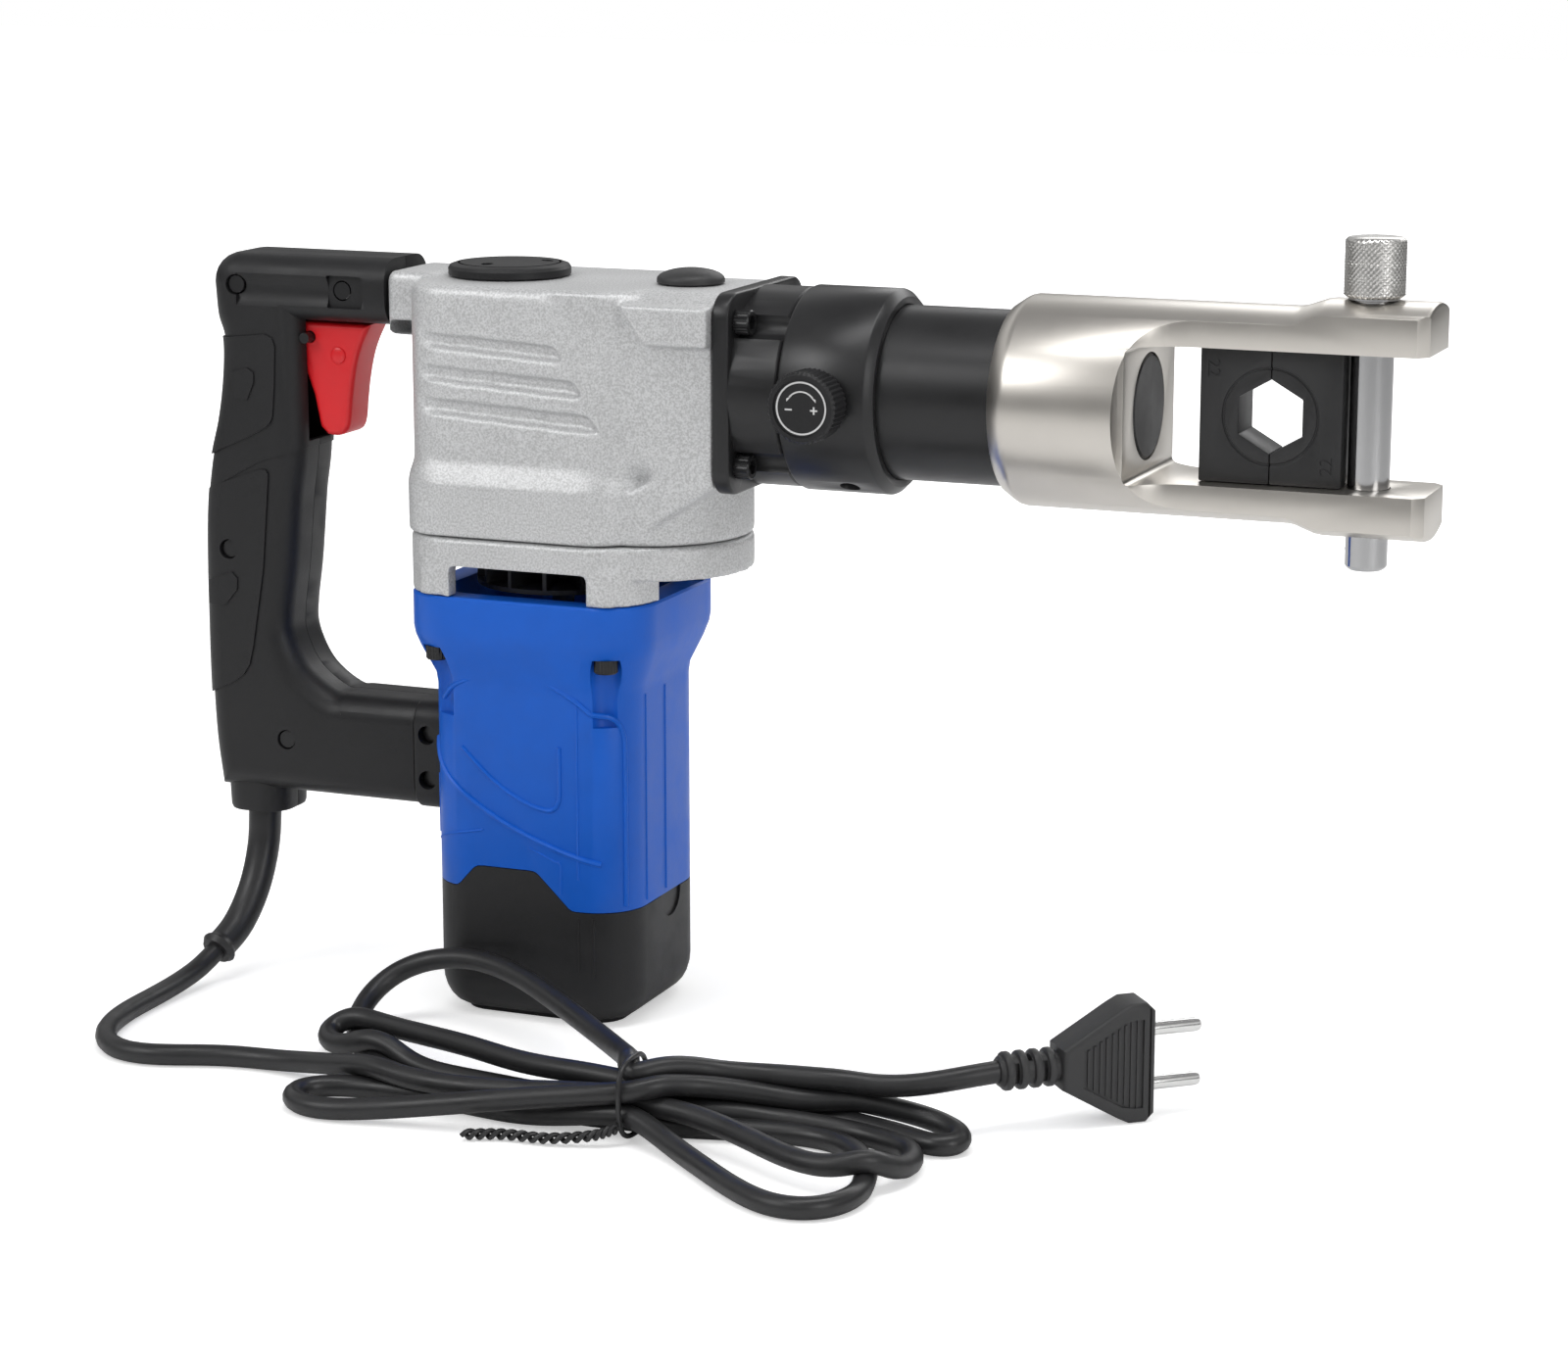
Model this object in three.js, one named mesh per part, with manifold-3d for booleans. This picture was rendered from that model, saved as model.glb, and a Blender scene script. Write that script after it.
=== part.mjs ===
// Electric-hydraulic crimping tool with hexagonal dies, a mains lead and a flat two-pin plug.
// Millimetres. +X runs along the hydraulic axis toward the jaws, +Z is up, the valve knob is on the -Y side.
// The origin is the centre of the flat foot under the motor.
import * as THREE from 'three';
import Module from 'manifold-3d';
import { mergeVertices } from 'three/addons/utils/BufferGeometryUtils.js';

const wasm = await Module();
wasm.setup();

// ---------------------------------------------------------------- driving sizes
const GAP = 0.3;              // clearance between pieces that touch
const far = 400;              // beyond every piece, for cuts that go right through
const axisZ = 233;            // height of the hydraulic axis

// motor, a rounded rectangle in plan
const motorW = 80;
const motorD = 72;
const motorR = 18;
const motorWall = 3.5;
const footH = 4;              // height of the foot rim
const capEdge = 9;            // rounding at the bottom of the end cap
const capFloor = 7;           // inside floor of the end cap
const capLow = 44;            // joint line between end cap and housing, away from the raised part
const capHigh = 57.5;         // the same joint where it is raised
const collarZ = 124;          // where the housing starts to widen
const screwSeat = 138;        // where the housing screws bear
const motorTop = 156.7;
const bearingR = 11;
const bearingH = 7;
const shaftR = 4;             // armature shaft
const coreR = 19;
const coreLow = 70;           // laminated core, from here to coreHigh
const coreHigh = 118;
const commutatorR = 12.5;
const commutatorZ = 46;
const commutatorH = 16;
const brushW = 6;
const brushH = 8;
const brushL = 14;
const fanR = 31;
const fanBlades = 14;

// castings
const castOver = [14, 12];    // how much wider and deeper they are than the motor
const castWall = 4;
const plateZ = 168;           // underside of the intermediate plate
const seamZ = 178;            // joint between the plate and the gear housing
const castAbove = 34;         // top of the gear housing above the hydraulic axis
const lugOut = 14;            // how far the lug that carries the handle stands out
const lugLen = 19;
const legOpenings = [-25, 28];
const housingScrewIn = [14, 6.5];   // screws into the motor, in from the sides of the castings
const flangeScrewIn = [8, 10];      // screws of the pump, in from the sides of the flange
const fillerX = -19.5;
const fillerR = 22;
const fillerHoleR = 15;
const breatherX = 51;
const breatherR = 12;
const breatherHoleR = 7;
const lugHalf = 17.5;
const ledgeTop = 208;         // top of the step around the foot of the gear housing
const ledgeOut = 3.5;         // how far that step stands out
const ledgeSlope = 11;        // height of its sloping top

// gear train: one reduction stage, then an eccentric that drives the pump plunger
const gearModule = 1.48;
const pinionTeeth = 10;
const gearTeeth = 39;
const gearZ = 182;
const gearH = 10;
const gearX = gearModule * (pinionTeeth + gearTeeth) / 2;
const gearShaftR = 5;
const throwR = 3;             // eccentricity
const camR = 11;
const camH = 16;

// hydraulic side, lengths along X
const flangeX = 73.6;         // face of the gear housing
const flangeT = 6.1;
const flangeHalf = 35;
const pumpLen = 17.6;
const blockWall = 5.5;        // valve block ring around the tube
const blockLen = 34.2;
const tubeR = 30.2;
const tubeWall = 4.8;
const tubeShown = 40;         // tube between valve block and head
const tubeSeat = 12;          // depth of the tube in the valve block and in the head
const headWall = 6;           // head around the tube
const headLen = 145;
const armExtra = 3.2;         // fork ends, thicker than the head by this
const armHalf = 17.5;         // half width of the fork arms
const slotStart = 47;         // slot, measured from the rear of the head
const slotCorner = 2;         // radius in its inner corners, small enough for the square die
const pinR = 7;
const pinInset = 22;          // cross pin, measured back from the fork ends
const rodR = 18;              // ram rod
const pistonIn = 18;          // rear of the piston, inside the tube
const pistonLen = 20;
const springWire = 1.3;
const dieW = 24;
const dieH = 45.4;
const dieT = 18;
const hexFlats = 21.6;        // hexagon across flats
const dieRest = 19.7;         // open distance between ram and moving die
const plungerR = 4;
const knobR = 12.4;
const knobT = 12;

// handle
const handleHalf = 17.5;
const handleWall = 3;
const edgeRound = 9;
const bracketLen = 13;
const bracketHoles = [11.7, 28.6];  // above the underside of the lower arm
const armTop = 111;           // lower arm
const armLow = 70.3;
const triggerHalf = 8;
const screwR = 1.6;
const screwHeadR = 3.2;
const triggerPinR = 2;

// cord and plug
const cordR = 3.8;
const plugHalf = 20.8;        // half width of the plug, which lies on its edge
const plugT = 15;
const plugTurn = 40;          // heading of the plug in plan, degrees
const contactR = 2.4;
const contactPitch = 19;
const contactOut = 22;

// ---------------------------------------------------------------- places worked out from them
const castW = motorW + castOver[0];
const castD = motorD + castOver[1];
const castR = motorR + 2;
const castTop = axisZ + castAbove;
const lugEnd = -castW / 2 - lugOut;
const boreR = tubeR - tubeWall;
const headR = tubeR + headWall;
const armR = headR + armExtra;
const blockR = tubeR + blockWall;
const pumpR = blockR - 0.7;
const screwX = castW / 2 - housingScrewIn[0];
const screwY = castD / 2 - housingScrewIn[1];
const housingScrews = [[-screwX, -screwY], [screwX, -screwY], [screwX, screwY], [-screwX, screwY]];
const flangeY = flangeHalf - flangeScrewIn[0];
const flangeZ = flangeHalf - flangeScrewIn[1];
const flangeScrews = [[-flangeY, -flangeZ], [flangeY, -flangeZ], [flangeY, flangeZ], [-flangeY, flangeZ]];
const pumpX = flangeX + flangeT;
const blockX = pumpX + pumpLen + GAP;
const blockEnd = blockX + blockLen;
const headX = blockEnd + tubeShown;
const headEnd = headX + headLen;
const slotX = headX + slotStart;
const pinX = headEnd - pinInset;
const slotHalf = dieH / 2 + GAP;
const fixedDieEnd = pinX - pinR - GAP - 0.1;
const fixedDieX = fixedDieEnd - dieW;
const movingDieX = fixedDieX - GAP - dieW;
const ramFace = movingDieX - GAP - dieRest;
const jointX = fixedDieX - GAP / 2;
const knobX = blockX + 14.7;
const gearCaseR = gearModule * gearTeeth / 2 + 7;
const handleTop = castTop + 5.5;
const handleUnder = castTop - 19;
const handleEnd = -motorW / 2 - GAP - bracketLen - GAP;
const pivot = [-97, handleUnder - 6];
// height on the grip, as a share of the way from the lower arm to the upper one
const grip = (share) => armTop + share * (handleUnder - armTop);
const handleScrews = [[-122.5, handleTop - 11.5], [-79.5, handleTop - 12.2], [-128.4, grip(0.377)],
  [-106.7, armLow + 21.6]];

// ---------------------------------------------------------------- finishes
const finish = (color, roughness, metalness) => new THREE.MeshStandardMaterial({
  color, roughness, metalness,
});
const finishes = {
  blackPlastic: finish(0x1d1e20, 0.55, 0),
  blackMetal: finish(0x161718, 0.38, 0.6),
  silverPaint: finish(0xb9bbbd, 0.45, 0.5),
  bluePlastic: finish(0x1853c2, 0.42, 0),
  redPlastic: finish(0xd1121b, 0.4, 0),
  nickel: finish(0xc9c4ba, 0.28, 1),
  steel: finish(0x9a9c9f, 0.35, 1),
  chrome: finish(0xd5d8dc, 0.15, 1),
  rubber: finish(0x19191a, 0.7, 0),
  copper: finish(0xb56a3c, 0.4, 1),
  laminate: finish(0x5c5e62, 0.5, 0.8),
  carbon: finish(0x2a2a2c, 0.8, 0.1),
  seal: finish(0x3a3a30, 0.6, 0),
};

// ---------------------------------------------------------------- helpers
const group = new THREE.Group();
group.name = 'hydraulic_crimping_tool';
const V2 = (x, y) => new THREE.Vector2(x, y);
const V3 = (x, y, z) => new THREE.Vector3(x, y, z);

// closed solid from a geometry
function solid(geometry) {
  geometry.deleteAttribute('normal');
  geometry.deleteAttribute('uv');
  const merged = mergeVertices(geometry, 1e-4);
  return new wasm.Manifold(new wasm.Mesh({
    numProp: 3,
    vertProperties: new Float32Array(merged.attributes.position.array),
    triVerts: new Uint32Array(merged.index.array),
  }));
}

function add(name, material, body) {
  const mesh = body.getMesh();
  const geometry = new THREE.BufferGeometry();
  geometry.setAttribute('position', new THREE.BufferAttribute(new Float32Array(mesh.vertProperties), 3));
  geometry.setIndex(new THREE.BufferAttribute(new Uint32Array(mesh.triVerts), 1));
  geometry.computeVertexNormals();
  const node = new THREE.Mesh(geometry, finishes[material]);
  node.name = name;
  group.add(node);
}

const join = (first, ...rest) => rest.reduce((whole, piece) => whole.add(piece), first);
const cut = (first, ...rest) => rest.reduce((whole, piece) => whole.subtract(piece), first);

const block = (x0, x1, y0, y1, z0, z1) => solid(new THREE.BoxGeometry(x1 - x0, y1 - y0, z1 - z0)
  .translate((x0 + x1) / 2, (y0 + y1) / 2, (z0 + z1) / 2));

const rodX = (r, x0, x1, y, z, sides = 32) => solid(
  new THREE.CylinderGeometry(r, r, x1 - x0, sides).rotateZ(Math.PI / 2).translate((x0 + x1) / 2, y, z));
const rodY = (r, y0, y1, x, z, sides = 24) => solid(
  new THREE.CylinderGeometry(r, r, y1 - y0, sides).translate(x, (y0 + y1) / 2, z));
const rodZ = (r, z0, z1, x, y, sides = 32) => solid(
  new THREE.CylinderGeometry(r, r, z1 - z0, sides).rotateX(Math.PI / 2).translate(x, y, (z0 + z1) / 2));

// solids of revolution: pairs of [distance along the axis, radius], closed to the axis
function lathe(profile, sides) {
  const points = profile.map(([along, r]) => V2(r, along));
  points.unshift(V2(0, profile[0][0]));
  points.push(V2(0, profile[profile.length - 1][0]));
  return new THREE.LatheGeometry(points, sides);
}
const turnedX = (profile, z = axisZ, sides = 48) => solid(lathe(profile, sides)
  .rotateZ(-Math.PI / 2).translate(0, 0, z));
const turnedZ = (profile, x = 0, sides = 32) => solid(lathe(profile, sides)
  .rotateX(Math.PI / 2).translate(x, 0, 0));
const turnedY = (profile, x, z, sides = 32) => solid(lathe(profile, sides).translate(x, 0, z));

// rounded rectangle centred on (cx, cy)
function roundRect(w, d, r, cx = 0, cy = 0, arcSteps = 5) {
  const points = [];
  const corners = [[1, 1, 0], [-1, 1, 90], [-1, -1, 180], [1, -1, 270]];
  for (const [sx, sy, start] of corners) {
    for (let i = 0; i <= arcSteps; i += 1) {
      const a = THREE.MathUtils.degToRad(start + 90 * i / arcSteps);
      points.push(V2(cx + sx * (w / 2 - r) + r * Math.cos(a), cy + sy * (d / 2 - r) + r * Math.sin(a)));
    }
  }
  return new THREE.Shape(points);
}

// extrusion of a shape, its ends rounded over by `edge`
function extrude(shape, length, edge = 0, steps = 2) {
  const geometry = new THREE.ExtrudeGeometry(shape, {
    depth: length - 2 * edge,
    bevelEnabled: edge > 0,
    bevelThickness: edge,
    bevelSize: edge,
    bevelOffset: -edge,
    bevelSegments: steps,
    curveSegments: 10,
  });
  return geometry.translate(0, 0, edge);
}
const prismZ = (shape, z0, z1, edge) => solid(extrude(shape, z1 - z0, edge).translate(0, 0, z0));
// shape drawn in X and Z
const prismY = (shape, y0, y1, edge) => solid(extrude(shape, y1 - y0, edge)
  .rotateX(Math.PI / 2).translate(0, y1, 0));
// shape drawn in Y and Z
const toX = new THREE.Matrix4().makeBasis(V3(0, 1, 0), V3(0, 0, 1), V3(1, 0, 0));
const prismX = (shape, x0, x1, edge) => solid(extrude(shape, x1 - x0, edge)
  .applyMatrix4(toX).translate(x0, 0, 0));

const outline = (points) => new THREE.Shape(points.map(([x, y]) => V2(x, y)));
// smooth closed outline through the points, cut into `count` straight pieces
function smooth(points, count) {
  const curve = new THREE.CatmullRomCurve3(points.map(([x, y]) => V3(x, y, 0)), false, 'centripetal');
  return curve.getPoints(count).map((p) => V2(p.x, p.y));
}

// solid of a round section carried along a curve
function tube(points, r, steps, sides = 10) {
  const circle = new THREE.Shape();
  circle.absarc(0, 0, r, 0, 2 * Math.PI);
  const curve = Array.isArray(points) ? new THREE.CatmullRomCurve3(points.map((p) => V3(...p))) : points;
  return solid(new THREE.ExtrudeGeometry(circle, { extrudePath: curve, steps, curveSegments: sides / 2 }));
}

// stadium in plan between two points
function stadium(ax, ay, bx, by, r) {
  const heading = Math.atan2(by - ay, bx - ax);
  const shape = new THREE.Shape();
  shape.absarc(bx, by, r, heading - Math.PI / 2, heading + Math.PI / 2, false);
  shape.absarc(ax, ay, r, heading + Math.PI / 2, heading + 3 * Math.PI / 2, false);
  return shape;
}

// cap screw along +Z from the joint face: head above, shank below, hexagon socket in the head
function capScrew(headR, headH, shank, shankLen) {
  const body = join(rodZ(headR, 0, headH, 0, 0, 20), rodZ(shank, -shankLen, 0.01, 0, 0, 12));
  return cut(body, rodZ(headR * 0.52, headH * 0.4, headH + 1, 0, 0, 6));
}

function placed(body, turn, at) {
  return body.rotate(turn).translate(at);
}

// ---------------------------------------------------------------- motor
// region below the joint line between end cap and housing, as a slab along Y
function belowJoint(offset) {
  const low = capLow + offset;
  const high = capHigh + offset;
  const points = [[-far, -far], [far, -far], [far, low], [20, low], [17.5, low + 1], [6, high - 1.4],
    [3.5, high], [-17, high], [-20, high - 1], [-26, low + 6], [-29, low + 5], [-far, low + 5]];
  return prismY(outline(points), -far, far);
}
const ringZ = (outer, inner, z0, z1, x) => cut(rodZ(outer, z0, z1, x, 0), rodZ(inner, z0 - 1, z1 + 1, x, 0));

const motorShape = (inset) => roundRect(motorW - 2 * inset, motorD - 2 * inset, motorR - inset);

function makeMotor() {
  // end cap: drawn in toward the foot, hollow, with a seat for the lower bearing
  const bowl = (inset, z) => solid(extrude(motorShape(inset), far, capEdge, 3).translate(0, 0, z));
  const foot = prismZ(roundRect(motorW - 2 * capEdge, motorD - 2 * capEdge, motorR - 8), 0, footH);
  const seatZ = capFloor + 2;
  const seat = rodZ(bearingR + 4, capFloor - 1, seatZ + bearingH, 0, 0);
  let cap = cut(join(bowl(0, footH / 2), foot), bowl(motorWall, capFloor));
  cap = cut(join(cap, seat), rodZ(bearingR + GAP, seatZ, far, 0, 0));
  cap = cap.intersect(belowJoint(-GAP / 2));
  add('motor_end_cap', 'blackPlastic', cap);

  // housing: straight body, then a wider collar under the castings
  const body = prismZ(motorShape(0), capLow - 1, collarZ + 20);
  const collarEdge = (castW - motorW) / 2 - 1;
  const collarSlope = 12;
  const collar = solid(new THREE.ExtrudeGeometry(roundRect(castW - 2, castD - 2, castR - 1), {
    depth: far,
    bevelThickness: collarSlope,
    bevelSize: collarEdge,
    bevelOffset: -collarEdge,
    bevelSegments: 3,
  }).translate(0, 0, collarZ + collarSlope));
  let housing = join(body, collar).subtract(block(-far, far, -far, far, motorTop, 2 * far));
  housing = cut(housing, prismZ(motorShape(motorWall), 0, motorTop + 1), belowJoint(GAP / 2));
  for (const [x, y] of housingScrews) {
    housing = cut(housing, rodZ(5.2, collarZ - 8, screwSeat, x, y, 20), rodZ(2.8, collarZ, far, x, y, 16));
  }
  add('motor_housing', 'bluePlastic', housing);

  // wound stator, armature, commutator, brushes, cooling fan and the two bearings
  const statorShape = motorShape(motorWall + GAP);
  add('stator', 'laminate', cut(prismZ(statorShape, coreLow - 4, coreHigh + 4), rodZ(coreR + 1, 0, far, 0, 0)));
  const pinionTop = gearZ + gearH + 1;
  const journalR = shaftR - 0.1;
  const core = turnedZ([[seatZ + GAP, journalR], [coreLow - 6, journalR], [coreLow - 6, coreR - 4],
    [coreLow, coreR], [coreHigh, coreR], [coreHigh + 8, coreR - 4], [coreHigh + 8, shaftR], [gearZ - 1, shaftR],
    [gearZ - 1, journalR], [pinionTop, journalR]]);
  const pinion = prismZ(toothedShape(pinionTeeth, 0), gearZ - 1, pinionTop);
  add('armature', 'laminate', join(core, pinion));
  add('commutator', 'copper', ringZ(commutatorR, shaftR + GAP, commutatorZ, commutatorZ + commutatorH, 0));
  const brushY = commutatorR + GAP;
  const brushZ = commutatorZ + (commutatorH - brushH) / 2;
  const brush = block(-brushW / 2, brushW / 2, brushY, brushY + brushL, brushZ, brushZ + brushH);
  add('carbon_brush_near', 'carbon', brush.mirror([0, 1, 0]));
  add('carbon_brush_far', 'carbon', brush);
  add('bearing_lower', 'steel', ringZ(bearingR, shaftR + GAP, seatZ + GAP, seatZ + bearingH, 0));
  add('bearing_upper', 'steel', ringZ(bearingR, shaftR + GAP, plateZ - 0.5, plateZ - 0.5 + bearingH, 0));
  add('cooling_fan', 'blackPlastic', makeFan());
}

// radial blower wheel, seen through the gaps under the castings
function makeFan() {
  const z0 = motorTop + 1;
  const z1 = plateZ - 2.5;
  const hubR = 9;
  const bladeLen = fanR - hubR + 0.5;
  let fan = join(rodZ(fanR, z0, z0 + 1.6, 0, 0), rodZ(hubR, z0, z1, 0, 0));
  for (let i = 0; i < fanBlades; i += 1) {
    const blade = new THREE.BoxGeometry(bladeLen, 1.4, z1 - z0)
      .translate(fanR - bladeLen / 2 - 0.2, 0, (z0 + z1) / 2)
      .rotateZ(2 * Math.PI * i / fanBlades);
    fan = fan.add(solid(blade));
  }
  return cut(fan, rodZ(shaftR + GAP, z0 - 1, z1 + 1, 0, 0));
}

// spur gear outline with slim teeth; `turn` is in teeth
function toothedShape(teeth, turn) {
  const pitchR = gearModule * teeth / 2;
  const step = 2 * Math.PI / teeth;
  const places = [[-0.27, -1.05], [-0.11, 0.62], [0.11, 0.62], [0.27, -1.05]];
  const points = [];
  for (let i = 0; i < teeth; i += 1) {
    for (const [share, height] of places) {
      const a = (i + turn + share) * step;
      const r = pitchR + gearModule * height;
      points.push(V2(r * Math.cos(a), r * Math.sin(a)));
    }
  }
  return new THREE.Shape(points);
}

// ---------------------------------------------------------------- castings and gear train
function makeCastings() {
  // intermediate plate: carries the upper motor bearing and stands on four legs over the fan
  const legs = cut(prismZ(roundRect(castW, castD, castR), motorTop + GAP, plateZ + 1),
    prismZ(roundRect(castW - 12, castD - 12, castR - 6), motorTop, plateZ),
    block(...legOpenings, -far, far, motorTop, plateZ), block(-far, far, -20, 20, motorTop, plateZ));
  let plate = join(prismZ(roundRect(castW, castD, castR), plateZ, seamZ), legs);
  for (const [x, y] of housingScrews) {
    plate = join(plate, rodZ(6.2, motorTop + GAP, plateZ + 1, x, y, 20));
  }
  plate = plate.intersect(prismZ(roundRect(castW, castD, castR), 0, far));
  plate = join(plate, rodZ(gearCaseR, plateZ - 2, seamZ, gearX, 0, 48));
  plate = cut(plate, rodZ(bearingR + GAP, 0, plateZ + bearingH, 0, 0), rodZ(shaftR + 1, 0, far, 0, 0),
    rodZ(8.3, seamZ - bearingH, far, gearX, 0));
  for (const [x, y] of housingScrews) {
    plate = cut(plate, rodZ(2.8, 0, plateZ + 2, x, y, 16));
  }
  add('intermediate_plate', 'silverPaint', plate);

  // gear housing: main box, ledge, gear bulge, neck toward the pump, lug for the handle
  const floor = seamZ + GAP;
  const upper = prismZ(roundRect(castW - 2, castD - 2 * ledgeOut, castR - 2, -0.5), floor, castTop, 3);
  const ledge = solid(new THREE.ExtrudeGeometry(roundRect(castW - 5, castD, castR - 4, -1.5), {
    depth: ledgeTop - floor - ledgeSlope,
    bevelThickness: ledgeSlope,
    bevelSize: ledgeOut + 0.5,
    bevelOffset: -ledgeOut - 0.5,
    bevelSegments: 1,
  }).translate(0, 0, floor));
  const bulge = rodZ(gearCaseR, floor, axisZ - flangeHalf - GAP, gearX, 0, 48);
  const neck = prismX(roundRect(2 * flangeHalf - 2, 2 * flangeHalf - 2, 14, 0, axisZ), 30, flangeX - GAP);
  const lug = prismZ(roundRect(lugLen, 2 * lugHalf, 4, lugEnd + lugLen / 2), castTop - 21, castTop + 1.5, 1.5);
  let housing = join(upper, ledge, bulge, neck, lug);
  housing = cut(housing, block(-far, far, -far, far, 0, floor));
  const hollow = prismZ(roundRect(castW - 12, castD - 2 * ledgeOut - 8, castR - 6, -1), 0, castTop - castWall);
  const bulgeHollow = rodZ(gearCaseR - 4.5, 0, axisZ - flangeHalf - 4, gearX, 0, 48);
  const neckHollow = rodX(27, 30, far, 0, axisZ, 40);
  housing = cut(housing, hollow, bulgeHollow, neckHollow);
  const topBoss = rodZ(bearingR + 4, castTop - 20, castTop - 2, gearX, 0);
  housing = cut(join(housing, topBoss), rodZ(bearingR + GAP, 0, castTop - 12, gearX, 0));
  housing = cut(housing, rodZ(fillerHoleR + GAP, castTop - 8, far, fillerX, 0),
    rodZ(breatherHoleR + GAP, castTop - 12, far, breatherX, 0));
  for (const [y, z] of flangeScrews) {
    housing = join(housing, rodX(7, flangeX - 22, flangeX - GAP, y, axisZ + z, 20));
    housing = cut(housing, rodX(2.8, flangeX - 18, far, y, axisZ + z, 16));
  }
  add('gear_housing', 'silverPaint', housing);
}

function makeGearTrain() {
  const top = castTop - 12;
  // a gap of the gear faces the pinion's tooth
  const gear = prismZ(toothedShape(gearTeeth, gearTeeth % 2 === 1 ? 0 : 0.5), gearZ, gearZ + gearH);
  add('drive_gear', 'steel', cut(gear, rodZ(gearShaftR + GAP, 0, far, 0, 0)).translate([gearX, 0, 0]));
  const shaft = rodZ(gearShaftR, seamZ - bearingH + GAP, top - GAP, gearX, 0);
  const cam = rodZ(camR, axisZ - camH / 2, axisZ + camH / 2, gearX - throwR, 0, 40);
  add('eccentric_shaft', 'steel', join(shaft, cam));
  add('gear_bearing_lower', 'steel', ringZ(8, gearShaftR + GAP, seamZ - bearingH + GAP, seamZ - GAP, gearX));
  add('gear_bearing_upper', 'steel', ringZ(bearingR, gearShaftR + GAP, top - bearingH, top - GAP, gearX));
}

function makeScrews() {
  housingScrews.forEach(([x, y], i) => {
    const screw = placed(capScrew(4.3, 5, 2.5, 26), [180, 0, 0], [x, y, screwSeat - GAP]);
    add(`housing_screw_${i + 1}`, 'blackMetal', screw);
  });
  flangeScrews.forEach(([y, z], i) => {
    const screw = placed(capScrew(4.4, 5.5, 2.5, 20), [0, 90, 0], [pumpX + GAP, y, axisZ + z]);
    add(`flange_screw_${i + 1}`, 'blackMetal', screw);
  });
}

function makeTopPlugs() {
  const z = castTop + GAP;
  const cap = [[z - 8, fillerHoleR], [z, fillerHoleR], [z, fillerR], [z + 3.2, fillerR],
    [z + 4.6, fillerR - 1.5], [z + 5.2, fillerR - 10]];
  add('filler_cap', 'blackPlastic', turnedZ(cap, fillerX));
  const button = [[z - 9, breatherHoleR], [z, breatherHoleR], [z, breatherR], [z + 2.4, breatherR],
    [z + 4.6, breatherR - 3], [z + 5.4, breatherR - 8]];
  add('breather_plug', 'rubber', turnedZ(button, breatherX));
}

// ---------------------------------------------------------------- pump, cylinder and head
function makePump() {
  let pump = join(prismX(roundRect(2 * flangeHalf, 2 * flangeHalf, 9, 0, axisZ), flangeX, pumpX),
    turnedX([[flangeX + 1, pumpR], [pumpX + pumpLen, pumpR]]));
  pump = cut(pump, rodX(plungerR + GAP, 0, far, 0, axisZ));
  for (const [y, z] of flangeScrews) {
    pump = cut(pump, rodX(2.8, 0, pumpX + 1, y, axisZ + z, 16), rodX(5.2, pumpX, far, y, axisZ + z, 20));
  }
  add('pump_body', 'blackMetal', pump);
  const head = gearX + throwR + camR + GAP;
  const shoe = [[head, plungerR + 3], [head + 3, plungerR + 3], [head + 3, plungerR], [pumpX + 12, plungerR]];
  add('pump_plunger', 'chrome', turnedX(shoe));
}

function makeValveBlock() {
  const socketX = blockEnd - tubeSeat;
  let ring = turnedX([[blockX, blockR - 0.8], [blockX + 0.8, blockR], [blockEnd - 2.5, blockR],
    [blockEnd, blockR - 2.5]]);
  ring = cut(ring, rodX(tubeR + GAP, socketX, far, 0, axisZ, 48), rodX(3, 0, far, 0, axisZ, 20),
    rodY(plungerR + GAP, -far, -11, knobX, axisZ));
  const port = rodZ(3.6, -far, -blockR + 9, 0, 0).rotate([-28, 0, 0]).translate([blockX + 20, 0, axisZ]);
  add('valve_block', 'blackMetal', cut(ring, port));
  const face = -blockR - 2.3;
  const knob = [[face - knobT, knobR - 1], [face - knobT + 1, knobR], [face, knobR], [face, plungerR],
    [-12, plungerR]];
  add('release_knob', 'blackPlastic', turnedY(knob, knobX, axisZ));
}

function makeCylinder() {
  const start = blockEnd - tubeSeat + GAP;
  const end = headX + tubeSeat;
  const bore = rodX(boreR, 0, far, 0, axisZ, 48);
  add('cylinder_tube', 'blackMetal', cut(rodX(tubeR, start, end, 0, axisZ, 48), bore));
  const piston = start + pistonIn;
  const shoulder = piston + pistonLen;
  const groove = piston + 8;
  let ram = turnedX([[piston, boreR - 0.4], [shoulder, boreR - 0.4], [shoulder, rodR],
    [ramFace - 1, rodR], [ramFace, rodR - 1]]);
  ram = cut(ram, cut(rodX(boreR + 1, groove, groove + 4, 0, axisZ, 48), rodX(boreR - 4, 0, far, 0, axisZ, 48)));
  add('ram', 'blackMetal', ram);
  const seal = rodX(boreR - 0.2, groove + GAP, groove + 4 - GAP, 0, axisZ, 48);
  add('ram_seal', 'seal', cut(seal, rodX(boreR - 4 + GAP, 0, far, 0, axisZ, 48)));
  const coil = new Coil((rodR + boreR) / 2, shoulder + springWire + GAP, end - springWire - GAP, 3);
  add('return_spring', 'steel', tube(coil, springWire, 48, 6));
}

// helix about the hydraulic axis
class Coil extends THREE.Curve {
  constructor(radius, from, to, turns) {
    super();
    Object.assign(this, { radius, from, to, turns });
  }

  getPoint(t) {
    const a = 2 * Math.PI * this.turns * t;
    const x = this.from + (this.to - this.from) * t;
    return V3(x, this.radius * Math.cos(a), axisZ + this.radius * Math.sin(a));
  }
}

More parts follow.
